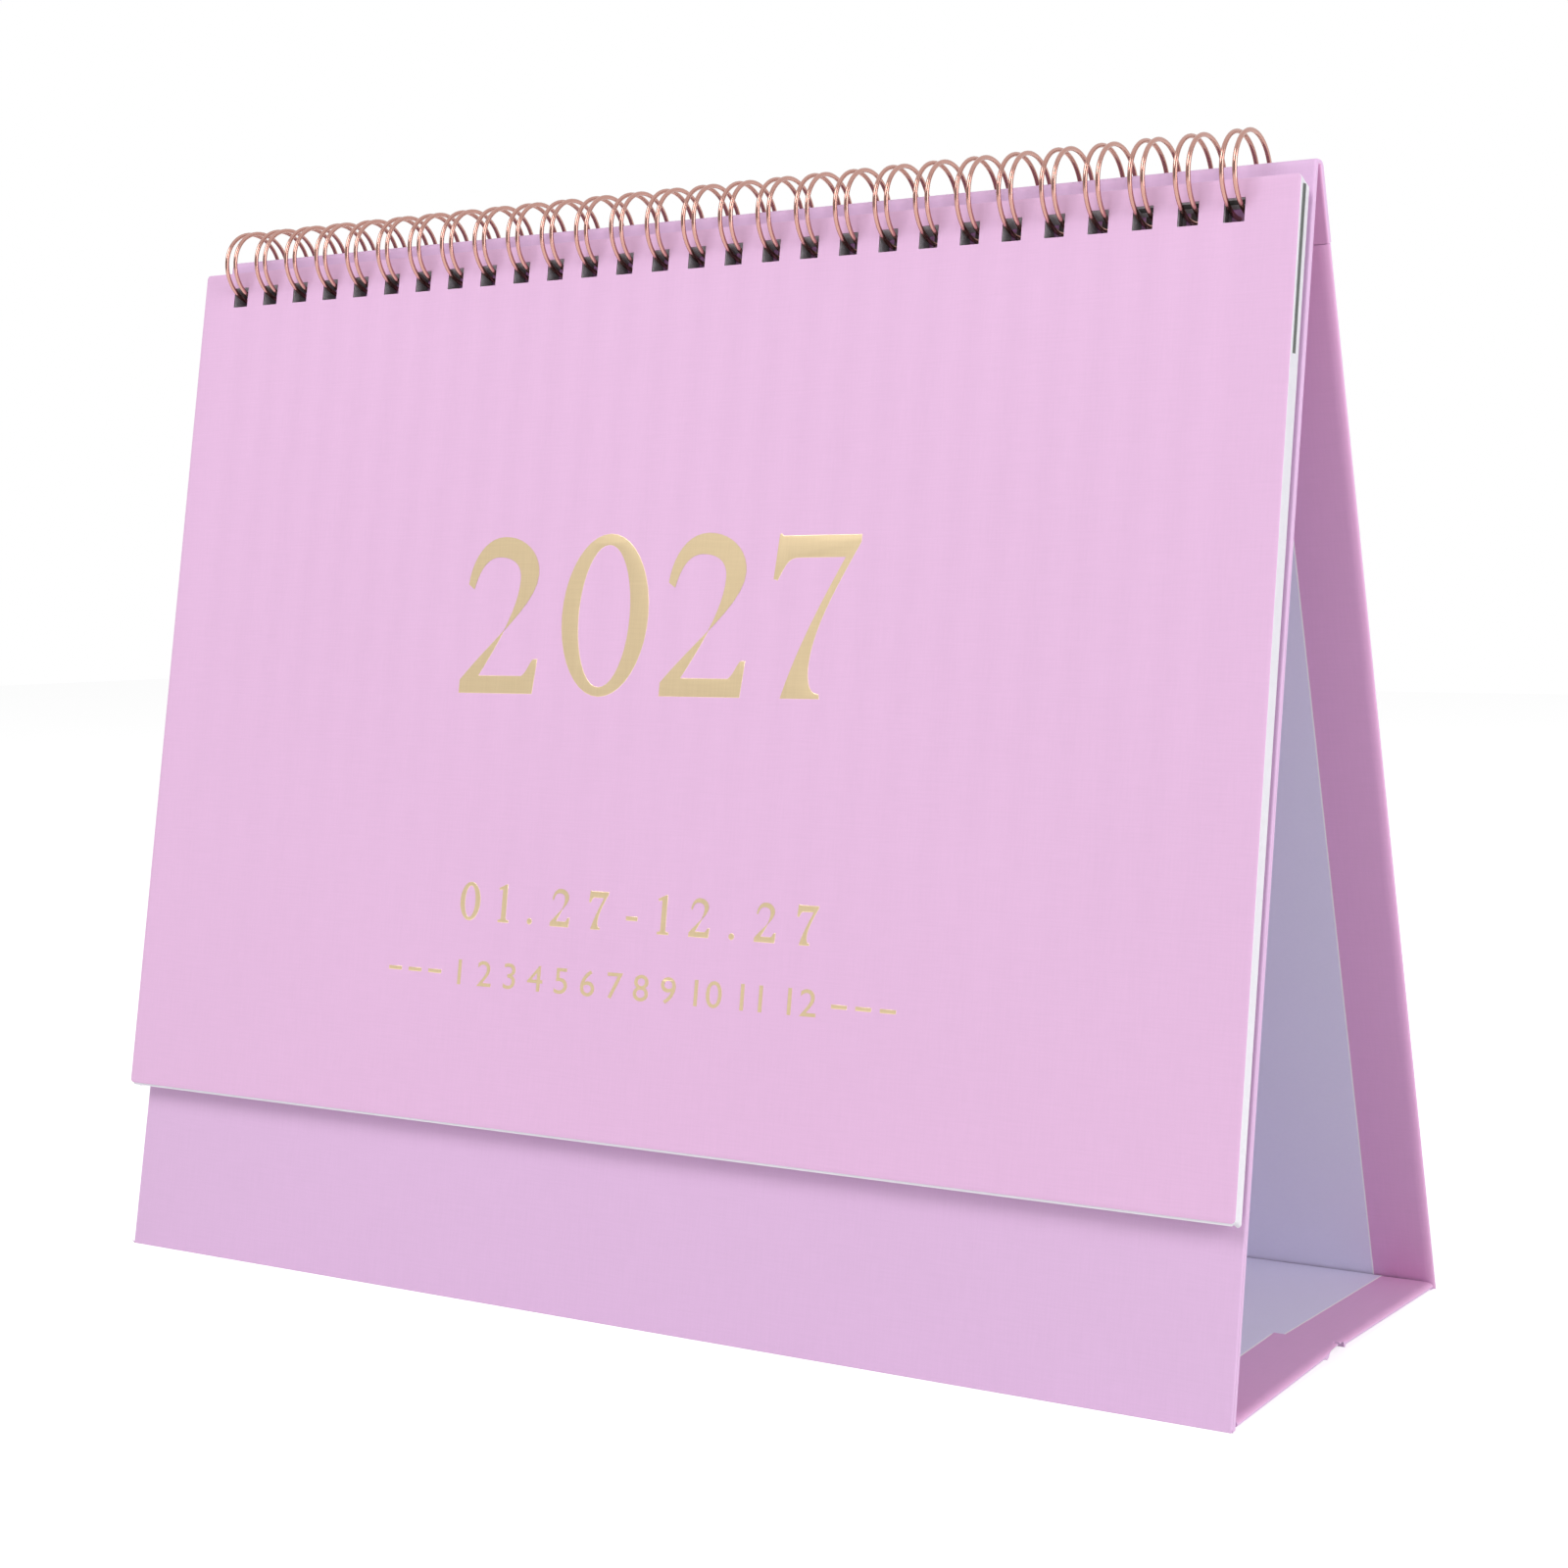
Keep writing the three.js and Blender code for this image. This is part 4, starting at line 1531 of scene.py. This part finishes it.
def curve_mesh(curve: bpy.types.Curve) -> Mesh:
    """A flat curve or text as a plain mesh with shared vertices.

    Args:
        curve: The curve or text.

    Returns:
        The mesh.
    """
    obj = placed("flat", curve)
    mesh = final_mesh(obj)
    bpy.data.objects.remove(obj)
    shape = bmesh.new()
    shape.from_mesh(mesh)
    bmesh.ops.remove_doubles(shape, verts=shape.verts, dist=1e-7)
    bmesh.ops.recalc_face_normals(shape, faces=shape.faces)
    shape.to_mesh(mesh)
    shape.free()
    return mesh


def text_mesh(words: str, height: float, half_thickness: float) -> Mesh:
    """Plain sans numerals as a thin mesh that starts at the origin.

    Args:
        words: The numerals.
        height: Height of a numeral.
        half_thickness: Half of the mesh's thickness.

    Returns:
        The mesh.
    """
    curve = bpy.data.curves.new("numerals", "FONT")
    curve.body = words
    curve.size = height / SANS_HEIGHT
    curve.extrude = half_thickness
    curve.resolution_u = 4
    return curve_mesh(curve)


@dataclass
class CoverFoil:
    """The foil on the cover: the year, a line of months and year, month numbers and dashes."""

    plane: SheetPlane
    foil: Material
    year_left: tuple[float, ...] = (-45.5 * MM, -21.4 * MM, 3.0 * MM, 26.8 * MM)
    year_foot: float = 84.5 * MM
    year_height: float = 31.1 * MM
    line_foot: float = 39.8 * MM
    line_height: float = 7.2 * MM
    line_ends: tuple[float, float] = (-40.3 * MM, 42.0 * MM)
    line_words: str = "01.27-12.27"
    line_grow: float = 0.12 * MM
    small_foot: float = 27.0 * MM
    small_height: float = 5.2 * MM
    small_ends: tuple[float, float] = (-39.5 * MM, 43.0 * MM)
    dash_height: float = 29.2 * MM
    dash_starts: tuple[float, float] = (-57.1 * MM, 46.1 * MM)
    dash_length: float = 3.3 * MM
    dash_pitch: float = 5.05 * MM
    dash_width: float = 0.75 * MM
    rim: float = 0.1 * MM
    rim_rise: float = 0.4

    def flat_curve(self, grow: float) -> bpy.types.Curve:
        """An empty flat curve with a soft rim, whose outlines are drawn bolder by an amount.

        Args:
            grow: How much bolder.

        Returns:
            The curve.
        """
        curve = bpy.data.curves.new("foil", "CURVE")
        curve.dimensions = "2D"
        curve.fill_mode = "BOTH"
        curve.bevel_depth = self.rim
        curve.bevel_resolution = 2
        curve.offset = grow - self.rim
        return curve

    def numerals(
        self, words: str, lefts: Iterable[float], foot: float, height: float, grow: float = 0.0
    ) -> Mesh:
        """Drawn numerals in one line.

        Args:
            words: The numerals.
            lefts: Where each one starts.
            foot: Height of the line's foot.
            height: Height of a numeral.
            grow: How much bolder than its outline each one is.

        Returns:
            The mesh.
        """
        curve = self.flat_curve(grow)
        for character, left in zip(words, lefts):
            for outline in NUMERALS[character][1]:
                add_outline(curve, outline, height, Vector((left, foot)))
        return curve_mesh(curve)

    def line(self) -> Mesh:
        """The widely spaced line under the year: first and last month.

        Returns:
            The mesh.
        """
        low, high = self.line_ends
        widths = [NUMERALS[c][0] * self.line_height for c in self.line_words]
        gap = (high - low - sum(widths)) / (len(widths) - 1)
        lefts = accumulate((width + gap for width in widths), initial=low)
        sizes = (self.line_foot, self.line_height, self.line_grow)
        return self.numerals(self.line_words, lefts, *sizes)

    def months(self) -> Mesh:
        """The small numbers of the twelve months, in plain sans.

        Returns:
            The mesh.
        """
        words = " ".join(str(month) for month in range(1, MONTHS + 1))
        mesh = text_mesh(words, self.small_height, self.rim)
        xs = [vertex.co.x for vertex in mesh.vertices]
        low, high = self.small_ends
        stretch = (high - low) / (max(xs) - min(xs))
        mesh.transform(Matrix.Diagonal((stretch, 1, 1, 1)))
        mesh.transform(Matrix.Translation((low - min(xs) * stretch, self.small_foot, 0)))
        return mesh

    def dashes(self) -> Mesh:
        """Three short dashes on each side of the small numbers.

        Returns:
            The mesh.
        """
        curve = self.flat_curve(0.0)
        width, height = self.dash_length, self.dash_width
        box = [(0, 0), (width, 0), (width, height), (0, height), (0, 0)]
        for start in self.dash_starts:
            for index in range(3):
                shift = Vector((start + index * self.dash_pitch, self.dash_height - height / 2))
                add_outline(curve, box, 1.0, shift)
        return curve_mesh(curve)

    def build(self) -> None:
        """Builds all the foil as one piece on the cover's front face."""
        year = self.numerals(str(YEAR), self.year_left, self.year_foot, self.year_height)
        shape = bmesh.new()
        for mesh in (year, self.line(), self.months(), self.dashes()):
            mesh.transform(Matrix.Diagonal((1, 1, self.rim_rise, 1)))
            shape.from_mesh(mesh)
        mesh = plain_mesh("cover_foil", shape)
        mesh.transform(self.plane.matrix())
        obj = new_object("cover_foil", mesh, self.foil)
        smooth_by_angle(obj.data, 60)
        finish_piece(obj, Body.COVER.value)


def geometry_graph(name: str, kinds: dict[str, str]) -> Graph:
    """A new geometry node tree.

    Args:
        name: Its name.
        kinds: The kind of each input that it has beside its geometry.

    Returns:
        The tree under construction.
    """
    tree = bpy.data.node_groups.new(name, "GeometryNodeTree")
    for label, kind in {"Geometry": "Geometry", **kinds}.items():
        tree.interface.new_socket(label, in_out="INPUT", socket_type=f"NodeSocket{kind}")
    tree.interface.new_socket("Geometry", in_out="OUTPUT", socket_type="NodeSocketGeometry")
    return Graph(tree)


class RuledGrid:
    """The month page's ruled grid, as a node tree with named sizes."""

    INPUTS = {
        "Width": "Float", "Height": "Float", "Columns": "Int", "Rows": "Int",
        "Line": "Float", "Thickness": "Float", "Ink": "Material",
    }

    def __init__(self) -> None:
        """Builds the tree: two rows of thin bars, realised and inked."""
        graph = geometry_graph("ruled_grid", self.INPUTS)
        self.tree = graph.tree
        given = graph.add("NodeGroupInput").outputs
        uprights = self.bars(graph, given, "Columns", "Width", "Height", upright=True)
        levels = self.bars(graph, given, "Rows", "Height", "Width", upright=False)
        joined = graph.add("GeometryNodeJoinGeometry")
        for bars in (uprights, levels):
            graph.feed(joined, {0: bars})
        real = graph.add("GeometryNodeRealizeInstances", {0: joined.outputs[0]})
        inked = {"Geometry": real.outputs[0], "Material": given["Ink"]}
        graph.add("NodeGroupOutput", {0: graph.add("GeometryNodeSetMaterial", inked).outputs[0]})

    def bars(
        self, graph: Graph, given: object, count: str, spread: str, length: str, upright: bool
    ) -> NodeSocket:
        """One set of equal parallel bars.

        Args:
            graph: The tree under construction.
            given: The group's inputs.
            count: Input that counts the cells across the set.
            spread: Input for how far the set spreads.
            length: Input for the length of a bar.
            upright: Whether the bars stand along Y, where they close the grid's corners too.

        Returns:
            The instances.
        """
        across, along = (0, 1) if upright else (1, 0)
        number = graph.math("ADD", given[count], 1.0)
        cell = graph.math("DIVIDE", given[spread], given[count])
        half = graph.math("MULTIPLY", given[length], 0.5)
        reach = graph.math("ADD", given[length], given["Line"]) if upright else given[length]
        size = graph.vector({across: given["Line"], along: reach, 2: given["Thickness"]})
        row = graph.add("GeometryNodeMeshLine", {
            "Count": number,
            "Start Location": graph.vector({along: half}),
            "Offset": graph.vector({across: cell}),
        })
        bar = graph.add("GeometryNodeMeshCube", {"Size": size})
        placing = {"Points": row.outputs[0], "Instance": bar.outputs[0]}
        return graph.add("GeometryNodeInstanceOnPoints", placing).outputs[0]

    def make(self, values: dict[str, object]) -> Mesh:
        """The grid as a plain mesh, from the given sizes.

        Args:
            values: A value for each of the tree's inputs.

        Returns:
            The mesh.
        """
        host = placed("grid", bpy.data.meshes.new("grid"))
        modifier = host.modifiers.new("grid", "NODES")
        modifier.node_group = self.tree
        set_inputs(modifier, values)
        mesh = final_mesh(host)
        bpy.data.objects.remove(host)
        return mesh


def set_inputs(modifier: bpy.types.NodesModifier, values: dict[str, object]) -> None:
    """Sets a node modifier's inputs by their sockets' identifiers."""
    for item in modifier.node_group.interface.items_tree:
        if item.item_type == "SOCKET" and item.in_out == "INPUT" and item.name in values:
            modifier[item.identifier] = values[item.name]


@dataclass
class MonthPrint:
    """What each month page shows: its number, a ruled grid and the numbers of its days."""

    grid: RuledGrid
    ink: Material
    margin: float = 14 * MM
    grid_foot: float = 12 * MM
    grid_height: float = 120 * MM
    number_foot: float = 140 * MM
    number_height: float = 17 * MM
    day_height: float = 4.6 * MM
    day_margin: float = 2.5 * MM
    rows: int = 6
    line: float = 0.25 * MM
    half_thickness: float = 0.004 * MM

    def build(self, plane: SheetPlane, month: int, numbers: dict[int, Mesh]) -> None:
        """Prints one month's page.

        Args:
            plane: Where the sheet lies.
            month: The month's number.
            numbers: The days' numbers as meshes.
        """
        width = plane.width - 2 * self.margin
        first_column, days = calendar.monthrange(YEAR, month)
        cell_x, cell_y = width / DAYS_PER_WEEK, self.grid_height / self.rows
        left = -width / 2
        shape = bmesh.new()
        ruled = self.grid.make({
            "Width": width, "Height": self.grid_height, "Columns": DAYS_PER_WEEK,
            "Rows": self.rows, "Line": self.line, "Thickness": 2 * self.half_thickness,
            "Ink": self.ink,
        })
        ruled.transform(Matrix.Translation((left, self.grid_foot, 0)))
        shape.from_mesh(ruled)
        for day in range(1, days + 1):
            row, column = divmod(first_column + day - 1, DAYS_PER_WEEK)
            x = left + column * cell_x + self.day_margin
            cell_top = self.grid_foot + self.grid_height - row * cell_y
            copy = numbers[day].copy()
            y = cell_top - self.day_height - self.day_margin
            copy.transform(Matrix.Translation((x, y, 0)))
            shape.from_mesh(copy)
            bpy.data.meshes.remove(copy)
        title = text_mesh(f"{month:02d}", self.number_height, self.half_thickness)
        title.transform(Matrix.Translation((left, self.number_foot, 0)))
        shape.from_mesh(title)
        name = f"month_{month:02d}_print"
        mesh = plain_mesh(name, shape)
        mesh.transform(plane.matrix(self.half_thickness))
        obj = new_object(name, mesh, self.ink)
        finish_piece(obj, f"month_{month:02d}")


@dataclass
class SheetStack:
    """The cover and the twelve month sheets behind it."""

    profile: StandProfile
    bled_months: tuple[int, ...] = (3, 4, 5, 6, 7)
    leading_months: int = 2
    leading_drop: float = 0.32 * MM
    trailing_drop: float = -0.35 * MM

    def build(self) -> None:
        """Builds the cover with its foil, then the months with their print."""
        cover_front = LinenPaper("cover_linen", COVER_PINK).build()
        paper = SmoothPaper("month_paper", PAPER_WHITE, roughness=0.5).build()
        plane = SheetPlane("cover_sheet")
        cover = PunchedSheet(plane, "cover_card", self.profile, edge_bevel=0.07 * MM)
        # Dark brownish grey on the holes' walls: painted shade deep inside the holes
        punched = SmoothPaper("punched_edges", srgb(92, 80, 84), roughness=0.8).build()
        piece = cover.build(cover_front, paper, punched)
        finish_piece(piece, Body.COVER.value, "cover_sheet")
        CoverFoil(plane, PressedFoil("gold_foil", srgb(253, 229, 188)).build()).build()
        planes = {month: SheetPlane(f"month_sheet_{month:02d}") for month in range(1, MONTHS + 1)}
        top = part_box("month_sheet_06")[1]
        bled = BledPaper("bled_month_paper", PAPER_WHITE, srgb(112, 117, 114), top.x, top.z).build()
        ink = Ink("month_ink", srgb(70, 68, 78)).build()
        printed = MonthPrint(RuledGrid(), ink)
        numbers = {
            day: text_mesh(str(day), printed.day_height, printed.half_thickness)
            for day in range(1, 32)
        }
        for month, plane in planes.items():
            finish = bled if month in self.bled_months else paper
            drop = self.leading_drop if month <= self.leading_months else self.trailing_drop
            sheet = PunchedSheet(plane, f"month_{month:02d}_page", self.profile, foot_drop=drop)
            node = f"month_sheet_{month:02d}"
            piece = sheet.build(finish, finish, punched)
            finish_piece(piece, f"month_{month:02d}", node)
            printed.build(plane, month, numbers)


# Wire


@dataclass
class TwinLoopWire:
    """One wire that runs round the ridge and back for each hole, then on to the next."""

    profile: StandProfile
    diameter: float = 0.85 * MM
    spacing: float = 2.4 * MM
    bend: float = 0.8 * MM
    seam: float = math.radians(-5)
    seam_gap: float = 0.8 * MM
    arc_steps: int = 44
    turn_steps: int = 6
    sides: int = 12

    def path(self) -> list[Vector]:
        """One twin loop's centre line, from half a pitch left of its hole to half a pitch right.

        Returns:
            Its points.
        """
        bend_turn = self.bend / RING_HALF_HEIGHT
        tip_turn = self.spacing / 2 / RING_HALF_HEIGHT
        start = self.seam - bend_turn
        gap_turn = (self.seam_gap + self.diameter) / RING_HALF_HEIGHT
        end = self.seam - 2 * math.pi + gap_turn + tip_turn
        side = self.spacing / 2

        def at(x: float, angle: float) -> Vector:
            """A point of the ring at an angle.

            Args:
                x: The point's X.
                angle: Its angle on the ring, from the back and upwards.

            Returns:
                The point.
            """
            ring = self.profile.ring
            y = ring.x + RING_HALF_DEPTH * math.cos(angle)
            return Vector((x, y, ring.y + RING_HALF_HEIGHT * math.sin(angle)))

        quarter = [math.pi / 2 * step / self.turn_steps for step in range(self.turn_steps + 1)]
        half = [at(-HOLE_PITCH / 2, self.seam)]
        for turn in quarter:
            x = -side - self.bend * (1 - math.sin(turn))
            half.append(at(x, self.seam - bend_turn * (1 - math.cos(turn))))
        steps = range(1, self.arc_steps + 1)
        half += [at(-side, start + (end - start) * step / self.arc_steps) for step in steps]
        for turn in quarter[1:]:
            half.append(at(-side * math.cos(turn), end - tip_turn * math.sin(turn)))
        mirrored = [Vector((-point.x, point.y, point.z)) for point in reversed(half[:-1])]
        return half + mirrored

    def tree(self) -> NodeTree:
        """The tree that repeats the loop along the row, joins the copies and sweeps the wire.

        Returns:
            The tree.
        """
        graph = geometry_graph("twin_loop_wire", {
            "Count": "Int", "Pitch": "Float", "Wire Radius": "Float", "Sides": "Int",
            "Plating": "Material",
        })
        given = graph.add("NodeGroupInput").outputs
        spacing = {"Count": given["Count"], "Offset": graph.vector({0: given["Pitch"]})}
        row = graph.add("GeometryNodeMeshLine", spacing)
        placing = {"Points": row.outputs[0], "Instance": given["Geometry"]}
        loops = graph.add("GeometryNodeInstanceOnPoints", placing)
        real = graph.add("GeometryNodeRealizeInstances", {0: loops.outputs[0]})
        merging = {"Geometry": real.outputs[0], "Distance": NEAR}
        merged = graph.add("GeometryNodeMergeByDistance", merging)
        centre_line = graph.add("GeometryNodeMeshToCurve", {0: merged.outputs[0]}).outputs[0]
        circle = {"Resolution": given["Sides"], "Radius": given["Wire Radius"]}
        section = graph.add("GeometryNodeCurvePrimitiveCircle", circle).outputs[0]
        sweep = {"Curve": centre_line, "Profile Curve": section, "Fill Caps": True}
        swept_wire = graph.add("GeometryNodeCurveToMesh", sweep)
        single = graph.add("GeometryNodeRealizeInstances", {0: swept_wire.outputs[0]})
        plated = {"Geometry": single.outputs[0], "Material": given["Plating"]}
        graph.add("NodeGroupOutput", {0: graph.add("GeometryNodeSetMaterial", plated).outputs[0]})
        return graph.tree

    def build(self, plating: Material) -> None:
        """Makes the wire in one piece.

        Args:
            plating: Its finish.
        """
        points = self.path()
        first = self.profile.hole_centres()[0]
        mesh = bpy.data.meshes.new("binding_wire_smooth")
        edges = [(index, index + 1) for index in range(len(points) - 1)]
        mesh.from_pydata([point + Vector((first, 0, 0)) for point in points], edges, [])
        obj = new_object("binding_wire_smooth", mesh)
        modifier = obj.modifiers.new("wire", "NODES")
        modifier.node_group = self.tree()
        set_inputs(modifier, {
            "Count": HOLE_COUNT, "Pitch": HOLE_PITCH, "Wire Radius": self.diameter / 2,
            "Sides": self.sides, "Plating": plating,
        })
        bake_modifiers(obj)
        smooth_by_angle(obj.data, 60)
        finish_piece(obj, Body.FRONT.value, "binding_wire")


# Carried-over nodes


def dress_frame_nodes(profile: StandProfile) -> None:
    """Gives the linings that stay from the frame their paper, with a painted highlight along both
    ends.

    Args:
        profile: The stand's side profile.
    """
    for name in ("front_lining", "back_lining", "base_front_lining", "base_rear_lining"):
        low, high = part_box(name)
        lining = SmoothPaper(
            f"{name}_paper", LINING_WHITE, border=0.25 * MM,
            half_width=(high.x - low.x) / 2, middle=profile.middle,
        )
        assign(frame["nodes"][name], lining.build())


def assign(obj: Object, material: Material) -> None:
    """Puts one material in every slot of a carried-over node.

    Args:
        obj: The node.
        material: The material.
    """
    if not obj.material_slots:
        obj.data.materials.append(material)
    for holder in obj.material_slots:
        holder.material = material
    log.info("%s keeps its shape and takes %s", obj.name, material.name)


# Studio


@dataclass(frozen=True)
class AreaLamp:
    """A soft rectangular lamp aimed at a point."""

    name: str
    place: tuple[float, float, float]
    aim: tuple[float, float, float]
    size: float
    watts: float
    colour: tuple[float, float, float] = (1.0, 1.0, 1.0)

    def build(self) -> None:
        """Adds the lamp."""
        light = bpy.data.lights.new(self.name, "AREA")
        light.shape = "SQUARE"
        light.size = self.size
        light.energy = self.watts
        light.color = self.colour
        obj = placed(self.name, light)
        obj.location = self.place
        direction = Vector(self.aim) - Vector(self.place)
        obj.rotation_euler = direction.to_track_quat("-Z", "Y").to_euler()


@dataclass
class Studio:
    """White floor, white surroundings and soft lamps."""

    floor_size: float = 6.0
    floor_albedo: float = 0.82
    floor_glow: float = 0.62
    ambient: float = 0.42
    camera_side: float = 0.36
    lamps: tuple[AreaLamp, ...] = (
        AreaLamp("key", (-0.35, -0.95, 1.12), (0, 0, 0.12), 0.7, 8.4),
        AreaLamp("fill", (1.7, -0.35, 0.6), (0, 0, 0.1), 1.2, 17.0),
    )

    def seen_directly(self, graph: Graph) -> NodeSocket:
        """1 for rays that show the surroundings: camera, glossy and transmission rays.

        Args:
            graph: The tree that asks.

        Returns:
            The share, 0 or 1.
        """
        rays = graph.add("ShaderNodeLightPath").outputs
        glossy = graph.math("MAXIMUM", rays["Is Glossy Ray"], rays["Is Transmission Ray"])
        return graph.math("MAXIMUM", rays["Is Camera Ray"], glossy)

    def floor(self) -> None:
        """The floor: white where it is lit, with the object's soft shadow."""
        half = self.floor_size / 2
        mesh = bpy.data.meshes.new("floor")
        corners = [(-half, -half, 0), (half, -half, 0), (half, half, 0), (-half, half, 0)]
        mesh.from_pydata(corners, [], [(0, 1, 2, 3)])
        material = bpy.data.materials.new("floor_white")
        material.use_nodes = True
        material.node_tree.nodes.clear()
        graph = Graph(material.node_tree)
        level = self.floor_albedo
        matt = graph.add("ShaderNodeBsdfDiffuse", {"Color": (level, level, level, 1)})
        strength = graph.math("MULTIPLY", self.seen_directly(graph), self.floor_glow)
        glow = graph.add("ShaderNodeEmission", {"Strength": strength})
        both = graph.add("ShaderNodeAddShader", {0: matt.outputs[0], 1: glow.outputs[0]})
        graph.add("ShaderNodeOutputMaterial", {0: both.outputs[0]})
        new_object("floor", mesh, material)

    def world(self) -> None:
        """Surroundings that look white and light the object softly."""
        world = bpy.data.worlds.new("studio")
        bpy.context.scene.world = world
        world.use_nodes = True
        graph = Graph(world.node_tree)
        shown = self.seen_directly(graph)
        direction = graph.add("ShaderNodeTexCoord").outputs["Generated"]
        depth = graph.add("ShaderNodeSeparateXYZ", {0: direction}).outputs[1]
        spread = {0: depth, 1: -0.8, 2: -0.1, 3: self.camera_side, 4: 1.0}
        mirrored = graph.add("ShaderNodeMapRange", spread).outputs[0]
        camera_ray = graph.add("ShaderNodeLightPath").outputs["Is Camera Ray"]
        white = graph.math("MAXIMUM", mirrored, camera_ray)
        levels = {0: shown, 2: self.ambient, 3: white}
        strength = graph.add("ShaderNodeMix", levels, data_type="FLOAT")
        lit = {"Color": (1, 1, 1, 1), "Strength": strength.outputs[0]}
        graph.feed(world.node_tree.nodes["Background"], lit)

    def build(self) -> None:
        """Sets up floor, surroundings and lamps."""
        self.floor()
        self.world()
        for lamp in self.lamps:
            lamp.build()
        bpy.context.scene.view_settings.view_transform = "Standard"
        log.info("studio with %d lamps", len(self.lamps))


@dataclass(frozen=True)
class PhotographCamera:
    """The photograph's viewpoint, from the fit of a pinhole camera to its frame of 1600 pixels."""

    place: Vector = Vector((286.965 * MM, -442.427 * MM, 136.546 * MM))
    yaw: float = math.radians(31.652)
    pitch: float = math.radians(3.274)
    roll: float = math.radians(-0.358)
    focal_pixels: float = 2664.999
    centre_x: float = 828.768
    centre_y: float = 759.519
    frame_pixels: float = 1600.0
    sensor: float = 36.0

    def build(self) -> None:
        """Adds the camera and makes it the scene's."""
        data = bpy.data.cameras.new("photograph_view")
        data.sensor_width = self.sensor
        data.lens = self.focal_pixels / self.frame_pixels * self.sensor
        data.shift_x = -(self.centre_x - self.frame_pixels / 2) / self.frame_pixels
        data.shift_y = (self.centre_y - self.frame_pixels / 2) / self.frame_pixels
        data.clip_start = 0.01
        ahead = Vector((
            -math.sin(self.yaw) * math.cos(self.pitch),
            math.cos(self.yaw) * math.cos(self.pitch),
            -math.sin(self.pitch),
        ))
        level = Vector((math.cos(self.yaw), math.sin(self.yaw), 0))
        upright = level.cross(ahead)
        right = level * math.cos(self.roll) + upright * math.sin(self.roll)
        up = upright * math.cos(self.roll) - level * math.sin(self.roll)
        turned = Matrix((right, up, -ahead)).transposed().to_4x4()
        obj = placed("photograph_view", data)
        obj.matrix_world = Matrix.Translation(self.place) @ turned
        bpy.context.scene.camera = obj


BOARD = RawBoard("grey_board", srgb(150, 143, 134)).build()


def main() -> None:
    """Builds the calendar, its studio and its camera."""
    logging.basicConfig(level=logging.INFO, format="%(name)s: %(message)s")
    PhotographCamera().build()
    profile = StandProfile()
    wrap = LinenPaper("wrap_linen", WRAP_SHADED_PINK).build()
    # The turn-ins' deeper pink paints the shade and bounce light inside the stand
    turn_in = LinenPaper("wrap_linen_turn_in", TURN_IN_PAINTED_SHADE_PINK).build()
    lining = SmoothPaper("crease_lining_paper", LINING_WHITE).build()
    Stand(profile, wrap, turn_in, lining).build()
    SheetStack(profile).build()
    TwinLoopWire(profile).build(PlatedWire("rose_gold", srgb(198, 154, 143)).build())
    dress_frame_nodes(profile)
    Studio().build()


if __name__ == "__main__":
    main()
